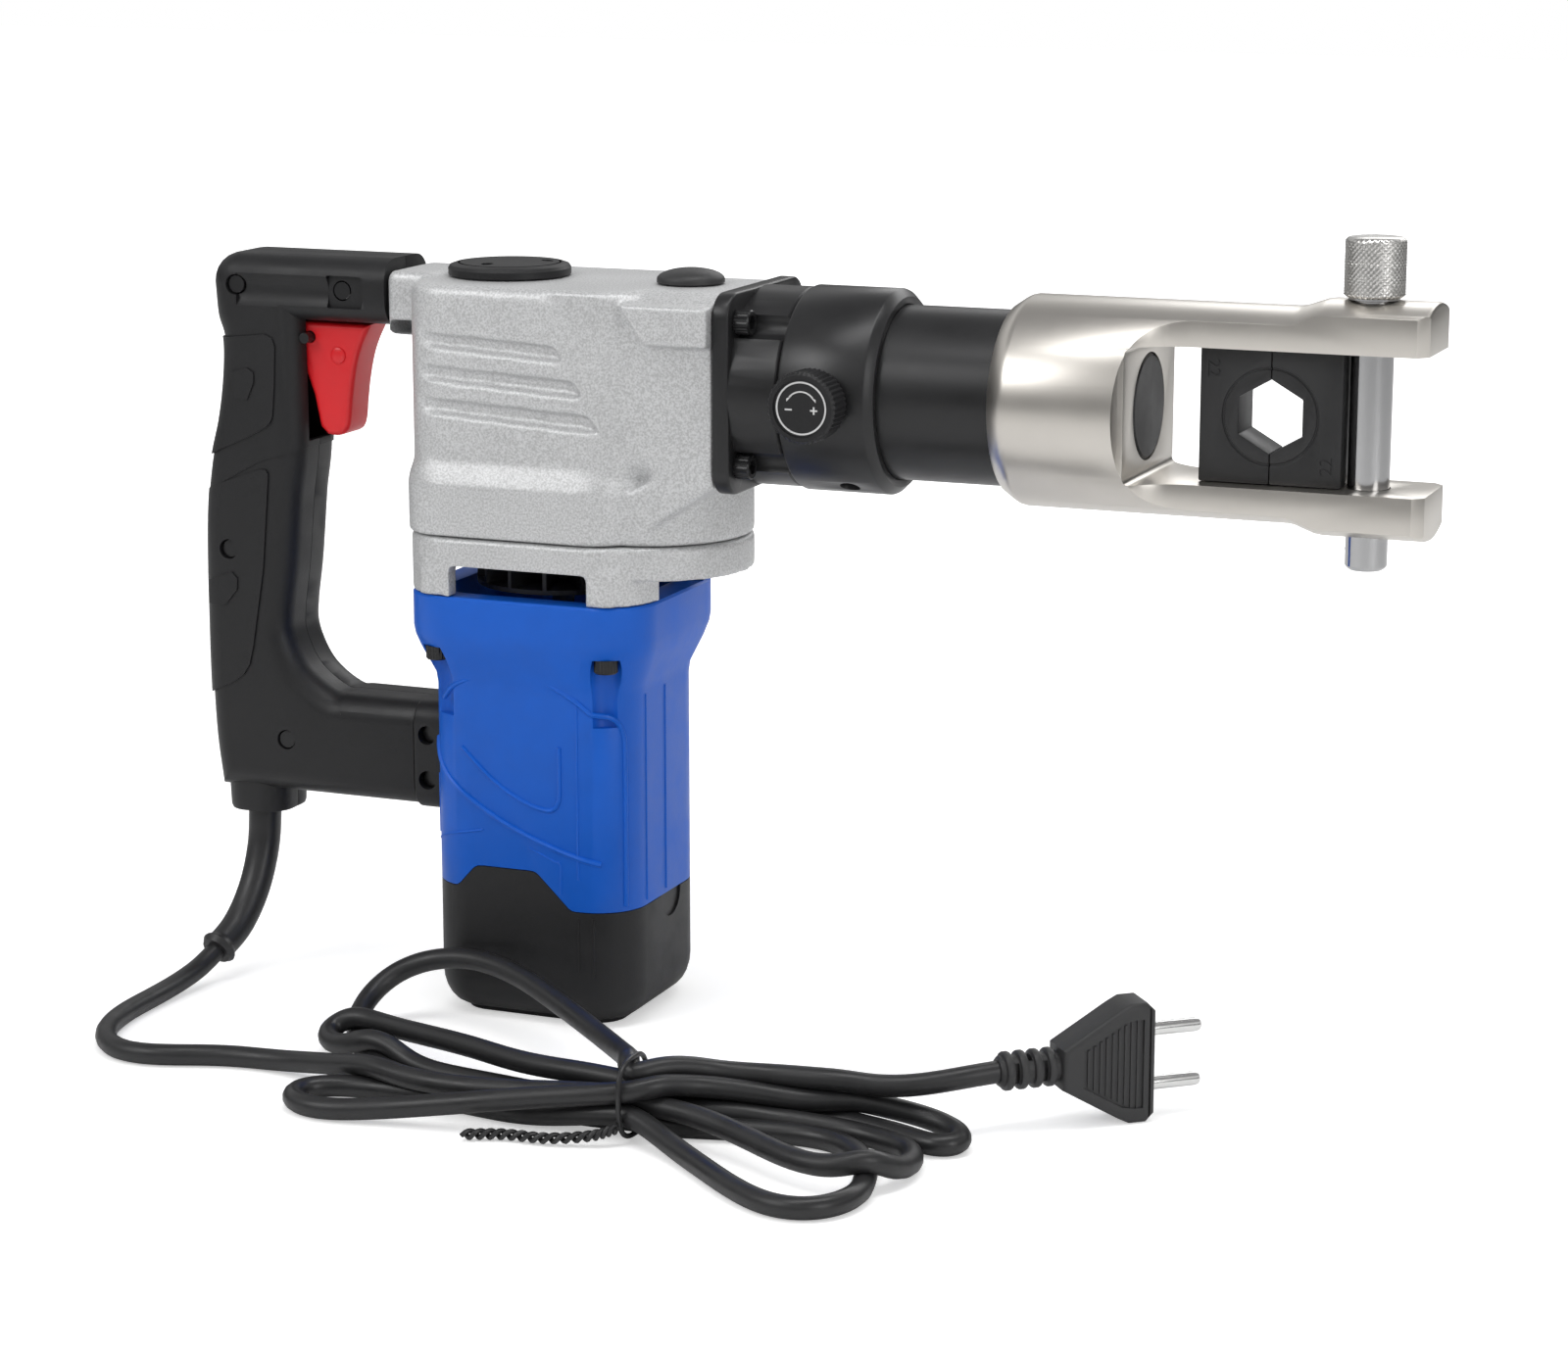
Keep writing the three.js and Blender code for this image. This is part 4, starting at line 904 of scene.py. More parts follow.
marks_front = knob_low.y + 0.62
marks = [turned([(marks_front, 8.5), (marks_front, 9.1), (marks_front + 0.2, 9.1),
                 (marks_front + 0.2, 8.5)], "Y", knob_at, 96, True)]
marks.append(slab(flat_arc(5.6, 0.5, 40, 140), marks_front, marks_front + 0.2, "Y"))
for a, lean in ((40, -1), (140, 1)):
    tip = (knob_at[0] + 5.6 * math.cos(math.radians(a)), knob_at[2] + 5.6 * math.sin(math.radians(a)))
    marks.append(slab([(tip[0] - lean * 1.0, tip[1] - 1.5), (tip[0] + 1.0, tip[1] + 0.5 * lean),
                       (tip[0] - 1.0, tip[1] - 0.5 * lean)], marks_front, marks_front + 0.2, "Y"))
for x, tall in ((-4.6, 0), (4.6, 1)):
    marks.append(slab(rounded(2.6, 0.55, 0.1, (knob_at[0] + x, knob_at[2] - 0.6), 1),
                      marks_front, marks_front + 0.2, "Y"))
    if tall:
        marks.append(slab(rounded(0.55, 2.6, 0.1, (knob_at[0] + x, knob_at[2] - 0.6), 1),
                          marks_front - 0.01, marks_front + 0.19, "Y"))
made("knob_marks", joined(*marks), print_white, "knob")

# %% [markdown]
# ## Cap screws
#
# All eight screws are the same kind: a cylindrical head with a hexagon socket and a fine knurl.
# One function makes a screw pointing along an axis, and the places come from the plain ones.

# %% Cap screws
def cap_screw(head_r, head_h, shank_r, shank_len):
    """Screw along +Z: seat at 0, head above it, shank below."""
    bm = turned([(-shank_len, shank_r - 0.5), (-shank_len + 0.5, shank_r), (0, shank_r),
                 (0, head_r), (head_h - 0.5, head_r), (head_h, head_r - 0.5)], "Z", sides=48)
    for v in bm.verts:
        r = math.hypot(v.co.x, v.co.y)
        if r > head_r - 0.1:
            turn = round(math.atan2(v.co.y, v.co.x) / math.tau * 48)
            v.co.xy *= (head_r - 0.22 * (turn % 2)) / r
    corner = head_r * 0.62
    socket = [(corner * math.cos(math.radians(60 * k)), corner * math.sin(math.radians(60 * k)))
              for k in range(6)]
    return carve(bm, slab(socket, head_h * 0.4, head_h + 1))


for i, (low, high) in enumerate(screw_boxes, 1):
    screw = cap_screw(4.4, 5.5, 2.5, 20)
    place = Matrix.Translation((high.x - 5.5, (low.y + high.y) / 2, (low.z + high.z) / 2))
    bmesh.ops.transform(screw, verts=screw.verts, matrix=place @ MILL["X"].to_4x4())
    made(f"flange_cap_screw_{i}", screw, screw_steel, "tool", [f"flange_screw_{i}"])
for i in (1, 2, 3, 4):
    low, high = box_mm(f"housing_screw_{i}")
    screw = cap_screw(4.3, 5, 2.5, 26)
    place = Matrix.Translation(((low.x + high.x) / 2, (low.y + high.y) / 2, low.z + 5))
    bmesh.ops.transform(
        screw, verts=screw.verts, matrix=place @ Matrix.Rotation(math.pi, 4, "X"))
    made(f"housing_cap_screw_{i}", screw, screw_steel, "tool", [f"housing_screw_{i}"])
dress("ram", die_steel)

# %% [markdown]
# ## The castings
#
# A die casting has no sharp edge anywhere and every corner is filled in. The quickest honest way to
# get that is to pile up the plain shapes, run one fine voxel skin over all of them and smooth it a
# little. What is machined afterwards, such as the seats and the hollow inside, is cut out later
# and stays crisp.

# %% Gear housing
case_low, case_high = box_mm("gear_housing")
plate_low, plate_high = box_mm("intermediate_plate")
filler_low, filler_high = box_mm("filler_cap")
breather_low, breather_high = box_mm("breather_plug")
gear_low, gear_high = box_mm("drive_gear")
GEAR_X = (gear_low.x + gear_high.x) / 2
CASE_R = plate_high.x - GEAR_X
SEAM_Z = plate_high.z
CASE_TOP = case_high.z - 1.5
FLANGE_X = pump_low.x
FRONT = 38.5
filler_x = (filler_low.x + filler_high.x) / 2
breather_x = (breather_low.x + breather_high.x) / 2


def lofted(rings):
    """Closed solid through level outlines that all have the same number of points: (outline, height)."""
    bm = bmesh.new()
    loops = [[bm.verts.new((p[0], p[1], z)) for p in points] for points, z in rings]
    for low, high in zip(loops, loops[1:]):
        for k in range(len(low)):
            bm.faces.new((low[k - 1], low[k], high[k], high[k - 1]))
    bm.faces.new(loops[0])
    bm.faces.new(loops[-1])
    bmesh.ops.recalc_face_normals(bm, faces=bm.faces)
    return bm


floor_z = SEAM_Z + 0.3
shapes = [
    # main box, its top edge rounded over
    lofted([(rounded(92, 77, 18, (-0.5, 0)), floor_z),
            (rounded(92, 77, 18, (-0.5, 0)), CASE_TOP - 4),
            (rounded(90.5, 75.5, 17.2, (-0.5, 0)), CASE_TOP - 1.2),
            (rounded(86, 71, 15, (-0.5, 0)), CASE_TOP)]),
    # step round the foot, with a sloping top
    lofted([(rounded(89, 84, 16, (-2, 0)), floor_z), (rounded(89, 84, 16, (-2, 0)), 197),
            (rounded(88, 82, 15, (-2, 0)), 199.5), (rounded(80, 74, 12, (-3, 0)), 209)]),
    rod(CASE_R, floor_z, AXIS_Z - FLANGE_HALF - 0.3, "Z", (GEAR_X, 0, 0), 96),
    slab(rounded(2 * FLANGE_HALF - 2, 2 * FLANGE_HALF - 2, 13, (0, AXIS_Z)), 30, FLANGE_X - 0.3, "X"),
    # lug that carries the handle
    lofted([(rounded(19, 35, 4, (-51.5, 0)), CASE_TOP - 21), (rounded(19, 35, 4, (-51.5, 0)), CASE_TOP - 1.2),
            (rounded(16.5, 32.5, 3, (-51.5, 0)), CASE_TOP + 1.5)]),
    # collar under the filler cap and low boss under the breather
    rod(23.2, CASE_TOP - 14, CASE_TOP + 0.05, "Z", (filler_x, 0, 0), 64),
    turned([(CASE_TOP - 5, 15.5), (CASE_TOP - 0.6, 14.2), (CASE_TOP, 13.4)], "Z", (breather_x, 0, 0), 48),
]
for side in (-1, 1):
    for z in (AXIS_Z - 25, AXIS_Z + 25):
        shapes.append(rod(7.6, FLANGE_X - 24, FLANGE_X - 0.3, "X", (0, side * 27, z), 32))
    # screw boss beside the flange: a box with a slanting end
    shapes.append(slab(
        [(39.5, CASE_TOP - 3.5), (FLANGE_X - 0.3, CASE_TOP - 3.5), (FLANGE_X - 0.3, CASE_TOP - 17.5),
         (49.5, CASE_TOP - 17.5)],
        min(side * 20, side * 39.2), max(side * 20, side * 39.2), "Y"))
    # web that sweeps down from the flange to the foot of the gear case
    shapes.append(slab(
        [(22, floor_z), (38, floor_z), (58, 190), (FLANGE_X - 0.3, 200.5), (FLANGE_X - 0.3, 212),
         (58, 206), (44, 199), (30, 190)],
        min(side * 16, side * 34.8), max(side * 16, side * 34.8), "Y"))
housing = joined(*shapes)

# three slanting flutes, cut before the skin goes over so that they soften with it
housing = through_modifier(housing, "REMESH", mode="VOXEL", voxel_size=1.0, adaptivity=0)
flutes = []
crease = [p[:2] for p in flowing([
    (-22, CASE_TOP + 3), (-8, CASE_TOP - 2.2), (5.7, CASE_TOP - 1.8), (13.5, CASE_TOP - 4.2),
    (19.6, CASE_TOP - 12.4), (24, CASE_TOP - 23), (31, 230), (40, 214), (48, 209)], 40)]
for side in (-1, 1):
    # right of the crease the face lies deeper, except for the screw boss
    field = crease + [(60, 209), (60, CASE_TOP + 3)]
    lowered = slab(field, min(side * 37, side * 60), max(side * 37, side * 60), "Y")
    boss_room = slab([(39, CASE_TOP - 3), (80, CASE_TOP - 3), (80, CASE_TOP - 18),
                      (49, CASE_TOP - 18)], -70, 70, "Y")
    flutes.append(carve(lowered, boss_room))
for top, tail_x, wide in ((251, 15, 4.6), (239.5, 22, 4.8), (228, 28, 5.0)):
    for side in (-1, 1):
        drop = 0.06
        points = [(-60, top + 8 * drop), (tail_x, top - (tail_x + 42) * drop),
                  (tail_x + 4.5, top - (tail_x + 42) * drop - wide - 1),
                  (-60, top - wide + 8 * drop)]
        near = side * (FRONT - 3.2)
        flutes.append(slab(points, min(near, side * 60), max(near, side * 60), "Y"))
    rear = -46.5 + 1.3
    flutes.append(slab(oblong(-60, top - wide, 60, top), -60, rear, "X"))
housing = carve(housing, *flutes)
housing = cast(housing, 1.0, 4)

inside = [
    slab(rounded(82, 69, 14, (-1, 0)), 0, CASE_TOP - 4),
    rod(CASE_R - 4.5, 0, AXIS_Z - FLANGE_HALF - 4, "Z", (GEAR_X, 0, 0), 64),
    rod(27, 30, FAR, "X", (0, 0, AXIS_Z), 64),
    rod(15.3, CASE_TOP - 8, FAR, "Z", (filler_x, 0, 0), 64),
    rod(7.3, CASE_TOP - 12, FAR, "Z", (breather_x, 0, 0), 48),
]
housing = carve(housing, *inside)
bearing_top = box_mm("gear_bearing_upper")[1].z
boss = turned([(CASE_TOP - 20, 15), (CASE_TOP - 3, 15)], "Z", (GEAR_X, 0, 0), 64)
boss = carve(boss, rod(11.3, 0, bearing_top + 0.3, "Z", (GEAR_X, 0, 0), 64))
housing = weld(housing, boss)
made("gear_case", housing, silver_paint, "tool", ["gear_housing"], sharp=50)

# %% [markdown]
# ## The intermediate plate
#
# The second casting closes the gear case from below, holds the upper motor bearing and stands on
# four legs, so that the fan can blow out between them.

# %% Intermediate plate
PLATE_Z = 168.0
shapes = [slab(rounded(94, 84, 20), PLATE_Z, SEAM_Z),
          rod(CASE_R, PLATE_Z - 2, SEAM_Z, "Z", (GEAR_X, 0, 0), 96)]
legs = slab(rounded(94, 84, 20), plate_low.z, PLATE_Z + 1)
legs = carve(legs, slab(rounded(82, 72, 14), 0, PLATE_Z),
             slab(oblong(-25, -80, 28, 80), 0, PLATE_Z),
             slab(oblong(-80, -20, 80, 20), 0, PLATE_Z))
shapes.append(legs)
corner_spots = []
for i in (1, 2, 3, 4):
    low, high = box_mm(f"housing_screw_{i}")
    corner_spots.append(((low.x + high.x) / 2, (low.y + high.y) / 2))
for x, y in corner_spots:
    shapes.append(rod(6.2, plate_low.z, PLATE_Z + 1, "Z", (x, y, 0), 32))
plate = cast(joined(*shapes), 1.0, 3)
plate = carve(plate, rod(11.3, 0, PLATE_Z + 7, "Z", sides=64), rod(5, 0, FAR, "Z", sides=32),
              rod(8.3, SEAM_Z - 7, FAR, "Z", (GEAR_X, 0, 0), 48))
plate = carve(plate, *[rod(2.8, 0, PLATE_Z + 2, "Z", (x, y, 0), 24) for x, y in corner_spots])
made("bearing_plate", plate, silver_paint, "tool", ["intermediate_plate"], sharp=50)

# %% [markdown]
# ## Filler cap and breather
#
# The filler cap is a low disc with three finger notches in its edge. The breather is a soft rubber
# button with a domed top.

# %% Filler cap and breather
cap_z = filler_low.z + 8
cap = turned([(filler_low.z, 14.4), (filler_low.z + 0.6, 15), (cap_z, 15), (cap_z, 21.4), (cap_z + 0.5, 22),
              (cap_z + 2.7, 22), (cap_z + 3.8, 21.3), (cap_z + 4.4, 19.5), (cap_z + 5.0, 14),
              (cap_z + 5.2, 6)], "Z", (filler_x, 0, 0), 128)
notches = [rod(2.2, cap_z + 4.1, FAR, "Z", (filler_x + 13.5 * math.cos(a), 13.5 * math.sin(a), 0), 24)
           for a in (math.radians(d) for d in (20, 140, 260))]
rim = turned([(cap_z + 3.4, 17.8), (cap_z + 3.4, 18.6), (cap_z + 9, 18.6), (cap_z + 9, 17.8)], "Z",
             (filler_x, 0, 0), 96, True)
cap = carve(cap, *notches)
cap = carve(cap, rim)
made("filler_disc", cap, black_plastic, "tool", ["filler_cap"])
dome = [(breather_low.z, 6.6), (breather_low.z + 0.4, 7), (breather_low.z + 9, 7), (breather_low.z + 9, 11.4),
        (breather_low.z + 9.4, 12)]
for step in range(9):
    a = math.radians(90 * step / 8)
    dome.append((breather_low.z + 10.4 + 4 * math.sin(a), 12 * math.cos(a) + 0.001))
made("breather_button", turned(dome, "Z", (breather_x, 0, 0), 64), plug_rubber, "tool",
     ["breather_plug"])

# %% [markdown]
# ## The motor housing
#
# A blue moulding with a wide collar on top. Thin raised lines run over it: an arch under the
# collar, a frame down the front panel and two long sweeps. The lines follow the wall round its
# corners, so a place on the wall is given as a distance along it and a height.

# %% Motor wall
MOTOR_W, MOTOR_D, MOTOR_R = 80.0, 72.0, 18.0
MOTOR_TOP = box_mm("motor_housing")[1].z


def on_wall(s, z, out=0.0):
    """Point on the motor wall, s millimetres from the middle of the front toward +X."""
    flat_x, flat_y = MOTOR_W / 2 - MOTOR_R, MOTOR_D / 2 - MOTOR_R
    arc = MOTOR_R * math.pi / 2
    side, s = (1, s) if s >= 0 else (-1, -s)
    if s <= flat_x:
        x, y = s, -MOTOR_D / 2 - out
    elif s <= flat_x + arc:
        a = (s - flat_x) / MOTOR_R
        x = flat_x + (MOTOR_R + out) * math.sin(a)
        y = -flat_y - (MOTOR_R + out) * math.cos(a)
    else:
        x, y = MOTOR_W / 2 + out, -flat_y + (s - flat_x - arc)
    return Vector((side * x, y, z))


def line_on_wall(points, radius=0.75, count=48, sides=8):
    """Raised line along (s, height) points, half sunk in the wall."""
    return swept([on_wall(s, z, -0.15) for s, z in flowing(points, count)], radius, sides)


def joint_shape(gap):
    line = [(FAR, 44), (20, 44), (18.8, 44.2), (17.5, 45), (6, 56.1), (4.8, 57), (3.5, 57.4),
            (2, 57.5), (-16, 57.5), (-18.4, 57.3), (-20, 56.5), (-26, 50), (-27.3, 49.2), (-29, 49),
            (-FAR, 49)]
    return slab([(-FAR, -FAR), (FAR, -FAR)] + [(x, z + gap) for x, z in line], -FAR, FAR, "Y")


def motor_outline(inset=0.0):
    return rounded(MOTOR_W - 2 * inset, MOTOR_D - 2 * inset, MOTOR_R - inset, steps=12)


# %% Motor housing
shell = lofted([
    (motor_outline(), 43), (motor_outline(), 122), (motor_outline(-0.6), 126),
    (rounded(90, 80, 19.4, steps=12), 136), (rounded(93, 83, 19.8, steps=12), 140.5),
    (rounded(94, 84, 20, steps=12), 144), (rounded(94, 84, 20, steps=12), MOTOR_TOP - 0.8),
    (rounded(92.4, 82.4, 19.2, steps=12), MOTOR_TOP),
])
shell = carve(shell, slab(motor_outline(3.5), 0, FAR))
shell = carve(shell, joint_shape(0.15))
lines = [
    line_on_wall([(-33, 118), (-26, 124), (-12, 128.5), (6, 128), (20, 122), (27, 117)], 1.0),
    line_on_wall([(21.5, 120), (21.5, 90), (21.5, 56)], 0.55),
    line_on_wall([(26.5, 117), (34.5, 115.5), (38.5, 110), (39.3, 100), (39.3, 60), (39.3, 46)], 1.0),
    line_on_wall([(51, 122), (51, 90), (51, 46)], 0.6),
    line_on_wall([(68, 122), (68, 90), (68, 46)], 0.6),
    line_on_wall([(-44, 101), (-32, 90), (-16, 79), (0, 71), (16, 65.5), (30, 62)], 1.1),
    line_on_wall([(-24, 101), (-12, 90), (0, 83), (10, 80.5), (14, 84), (14.5, 92), (14.5, 104)], 0.9),
    line_on_wall([(-42, 66), (-42, 80), (-41.5, 88)], 0.5),
    line_on_wall([(-41, 64), (-30, 68), (-16, 71)], 0.5),
    line_on_wall([(2, 66), (12, 62), (14.5, 61), (14.5, 55), (14.5, 50)], 0.5),
]
for mirror in (-51, -68):
    lines.append(line_on_wall([(mirror, 122), (mirror, 90), (mirror, 51)], 0.6))
pockets = []
for x, y in corner_spots:
    pockets.append(rod(5.6, 112, 137.7, "Z", (x, y, 0), 32))
    pockets.append(rod(2.9, 130, FAR, "Z", (x, y, 0), 24))
shell = carve(shell, *pockets)
soften(shell, 0.35, 2, angle=55)
made("motor_shell", joined(shell, *lines), blue_plastic, "tool", ["motor_housing"], sharp=35)

# %% End cap
low_ring = [(motor_outline(9), 2.0)]
for step in range(1, 7):
    a = math.radians(90 * step / 6)
    low_ring.append((motor_outline(9 * (1 - math.sin(a))), 2 + 13 * (1 - math.cos(a))))
end_cap = lofted(low_ring + [(motor_outline(), 60)])
foot = slab(rounded(62, 54, 10, steps=10), 0, 4)
soften(foot, 0.8, 2, angle=60)
end_cap = weld(end_cap, foot)
hollow = lofted([(motor_outline(wall), z) for wall, z in ((12, 7), (5, 13), (3.5, 18), (3.5, 80))])
end_cap = carve(end_cap, hollow)
bearing_seat = carve(rod(15, 5, 16, "Z"), rod(11.3, 9, FAR, "Z"))
end_cap = weld(end_cap, bearing_seat)
above = slab(oblong(-FAR, -FAR, FAR, FAR), 20, 2 * FAR)
upper = carve(above, joint_shape(-0.15))
end_cap = carve(end_cap, upper)
cap_lines = [
    line_on_wall([(21.5, 42), (21.5, 30), (21.5, 22)], 0.5),
    line_on_wall([(27, 42), (27, 30), (27, 20)], 0.5),
]
thumb = [rod(8.5, 39.2 if side > 0 else -WIDE, WIDE if side > 0 else -39.2, "X", (0, 4, 43), 48)
         for side in (-1, 1)]
groove = slab(oblong(-33.6, -60, -32.6, -34.2), 16, 60)
end_cap = carve(end_cap, *thumb)
end_cap = carve(end_cap, groove)
soften(end_cap, 0.35, 2, angle=50)
made("end_cap", joined(end_cap, *cap_lines), black_plastic, "tool", ["motor_end_cap"],
     sharp=35)

# %% [markdown]
# ## The handle
#
# Two shells that meet in the middle plane. The outline is drawn once; the rounded sides come from
# stacking smaller copies of it. The grip pads are where a slightly larger copy of the whole handle
# shows through a window, so that they follow the rounding of the back.

# %% Handle outline
grip_low, grip_high = box_mm("handle_shell_near")
bracket_low, bracket_high = box_mm("handle_bracket")
HALF = -grip_low.y
UPPER_TOP = grip_high.z
UPPER_LOW = UPPER_TOP - 24.5
LOWER_TOP, LOWER_LOW = bracket_high.z, bracket_low.z
ARM_X = case_low.x - 0.3
BRACKET_X = bracket_low.x - 0.3
EDGE = 9.0
WALL = 3.0


def grip(share):
    """Height on the grip, as a share of the way from the lower arm to the upper one."""
    return LOWER_TOP + share * (UPPER_LOW - LOWER_TOP)


def handle_outline(long=0.0):
    back = flowing([
        (-134.5, UPPER_TOP - 11), (-133.5, UPPER_TOP - 23.5), (-131, UPPER_TOP - 32.5),
        (-131.6, UPPER_TOP - 46.5), (-134, grip(0.73)), (-138.2, grip(0.606)), (-140.8, grip(0.431)),
        (-141.4, grip(0.102)), (-140.6, LOWER_LOW + 22.7), (-138, LOWER_LOW)], 60)
    inner = flowing([
        (-84, LOWER_TOP), (-88, LOWER_TOP), (-95, LOWER_TOP + 4), (-101, LOWER_TOP + 10),
        (-105.4, grip(0.146)), (-105.4, grip(0.212)), (-103, grip(0.336)), (-100.6, grip(0.518)),
        (-98, grip(0.672)), (-98, UPPER_LOW)], 60)
    corner = [(-134.5 + 11 * (1 - math.cos(a)), UPPER_TOP - 11 + 11 * math.sin(a))
              for a in (math.radians(15 * k) for k in range(6, 0, -1))]
    return [(ARM_X + long, UPPER_LOW), (ARM_X + long, UPPER_TOP)] + corner + back + [
        (BRACKET_X + long, LOWER_LOW), (BRACKET_X + long, LOWER_TOP)] + inner


def inset(points, depth):
    """The outline moved inward by the depth, or outward where it is negative.

    Close to a corner the moved points would cross each other. Such a point lies nearer to the
    outline than the depth, and it goes to its nearest neighbour that doesn't.
    """
    p = np.array([q[:2] for q in points], float)
    after = np.roll(p, -1, axis=0) - p
    after /= np.linalg.norm(after, axis=1)[:, None]
    before = np.roll(after, 1, axis=0)
    turn = np.sign((p[:, 0] * np.roll(p[:, 1], -1) - np.roll(p[:, 0], -1) * p[:, 1]).sum())
    middle = np.stack([-(before + after)[:, 1], (before + after)[:, 0]], 1) * turn
    middle /= np.linalg.norm(middle, axis=1)[:, None]
    lean = middle[:, 0] * -after[:, 1] * turn + middle[:, 1] * after[:, 0] * turn
    moved = p + middle * (depth / np.maximum(lean, 0.45))[:, None]
    edge = np.roll(p, -1, axis=0) - p
    to = moved[:, None, :] - p[None, :, :]
    share = np.clip((to * edge[None]).sum(2) / (edge ** 2).sum(1)[None], 0, 1)
    gap = np.linalg.norm(to - share[:, :, None] * edge[None], axis=2).min(axis=1)
    sound = np.flatnonzero(gap > abs(depth) - 0.02)
    count = len(p)
    for k in np.flatnonzero(gap <= abs(depth) - 0.02):
        steps = np.minimum((sound - k) % count, (k - sound) % count)
        moved[k] = moved[sound[steps.argmin()]]
    return [tuple(q) for q in moved]


def pillow(points, half, edge, steps=8):
    """Slab across Y whose two faces run into its sides in quarter rounds."""
    near = []
    for step in range(steps + 1):
        a = math.radians(90 * step / steps)
        near.append((inset(points, edge * (1 - math.sin(a))), -half + edge * (1 - math.cos(a))))
    bm = lofted(near + [(p, -y) for p, y in reversed(near)])
    for v in bm.verts:
        v.co = (v.co.x, v.co.z, v.co.y)
    bmesh.ops.remove_doubles(bm, verts=bm.verts, dist=0.01)
    bmesh.ops.recalc_face_normals(bm, faces=bm.faces)
    return bm


# %% Handle shells
outline = handle_outline(2 * EDGE)
BASE = 0.7
body = pillow(inset(outline, BASE), HALF - BASE, EDGE)
hand_head = [(-150, 176), (-132.6, 186.3), (-122, 192.2), (-113.7, 196.6), (-99.3, 200.8),
             (-85, 205.9), (-50, 206), (-50, 300), (-150, 300)]
upper_pad = [(-150, 240), (-127, 241.5), (-110.5, 243.4), (-107.4, 242), (-106.4, 239),
             (-107, 225), (-108.1, 213.3), (-109.2, 210.8), (-111.5, 208.8), (-118, 205.4),
             (-133.2, 198.7), (-150, 192)]
lower_pad = [(-150, 179), (-134.3, 186.2), (-114, 193.4), (-111.8, 193.3), (-110.8, 191.6), (-112, 178),
             (-114, 156.4), (-119.2, 126.4), (-121, 119.5), (-123.7, 115.4), (-128, 112.4), (-136.5, 108.5),
             (-150, 102)]
badge_high = [(-125.2, 228.8), (-117.9, 230.8), (-115.2, 229.2), (-115.2, 225.6), (-118.1, 219),
              (-123.4, 219.4)]
badge_low = [(-137.6, 150.4), (-127, 154.2), (-124.8, 152), (-125, 147.8), (-130.1, 141.6),
             (-137.9, 141.6)]
layers = [(hand_head, 0.45), (upper_pad, 1.1), (lower_pad, 0.7), (badge_high, 1.7), (badge_low, 1.3)]
for window, proud in layers:
    depth = BASE - proud
    layer = pillow(inset(outline, depth), HALF - depth, EDGE)
    layer = carve(layer, slab(window, -WIDE, WIDE, "Y"), operation="INTERSECT")
    body = weld(body, layer)
collar = lofted([(rounded(24, 26, 9, (-124.3, 0)), LOWER_LOW - 8.3),
                 (rounded(25, 27, 9.5, (-124.3, 0)), LOWER_LOW - 7),
                 (rounded(25.6, 27.6, 9.5, (-124.3, 0)), LOWER_LOW + 5)])
body = weld(body, collar)
body = carve(body, pillow(inset(handle_outline(), WALL), HALF - WALL, EDGE - WALL))

cuts = [slab(oblong(ARM_X, 215, FAR, FAR), -WIDE, WIDE, "Y"),
        slab(oblong(BRACKET_X, 0, FAR, 190), -WIDE, WIDE, "Y")]
body = carve(body, *cuts)
trigger_low, trigger_high = box_mm("trigger")
slot_y = trigger_high.y + 0.5
cuts = [slab(oblong(-102, UPPER_LOW - 44.5, -60, UPPER_LOW + WALL + 1), -slot_y, slot_y, "Y"),
        rod(6.5, LOWER_LOW - 30, LOWER_LOW + 3, "Z", (-126, 0, 0), 32)]
for i in (1, 2, 3, 4):
    low, high = box_mm(f"handle_screw_{i}")
    at = ((low.x + high.x) / 2, 0, (low.z + high.z) / 2)
    cuts.append(rod(3.7, -WIDE, -HALF + 4, "Y", at, 32))
    cuts.append(rod(1.9, -WIDE, 9, "Y", at, 16))
# channel along the upper arm and the pocket round its front screw
channel = rod(9.2, -122, -70, "X", (0, -HALF - 6.6, 259.6), 64)
pocket = slab(rounded(14, 11.8, 0.8, (-78, 259.9)), -60, -HALF + 2.6, "Y")
body = carve(body, *cuts)
body = carve(body, channel)
body = carve(body, pocket)
halves = {"near": (-60, -0.15), "far": (0.15, 60)}
for side, (low, high) in halves.items():
    half_space = slab(oblong(-FAR, -FAR, FAR, 2 * FAR), low, high, "Y")
    shell = carve(body.copy(), half_space, operation="INTERSECT")
    soften(shell, 0.3, 2, angle=50)
    made(f"handle_{side}", shell, black_plastic, "tool", [f"handle_shell_{side}"], sharp=30)
body.free()

# %% [markdown]
# ## Trigger, bracket and sleeve
#
# The trigger is a thick blade with a bevel all round its face and a small round stop that lies
# against the slot. The bracket ties the lower arm to the motor.

# %% Trigger, bracket and sleeve
top = trigger_high.z
face = [(-97, top)] + flowing([
    (-72.5, top), (-76, top - 6.9), (-78.3, top - 13.4), (-80, top - 21.4), (-81.1, top - 29.4),
    (-81.9, top - 36.4), (-83.5, top - 39.9), (-87, top - 41.4), (-91, top - 41.2)], 40) + [
    (-94, top - 38.4), (-96.5, top - 26.4), (-101, top - 14.4), (-101, top - 5.4), (-100, top)]
face = [p[:2] for p in face]
blade = pillow(face, trigger_high.y, 2.2, 6)
pin_low, pin_high = box_mm("trigger_pin")
pivot = ((pin_low.x + pin_high.x) / 2, 0, (pin_low.z + pin_high.z) / 2)
blade = carve(blade, rod(2.3, -WIDE, WIDE, "Y", pivot, 32))
stop = turned([(-0.9, 2.2), (-0.5, 2.9), (0, 3.1), (trigger_high.y * 2, 3.1)], "Y",
              (-85.5, trigger_low.y, 235.7), 32)
made("trigger_blade", weld(blade, stop), red_plastic, "trigger_lever", ["trigger"], sharp=30)

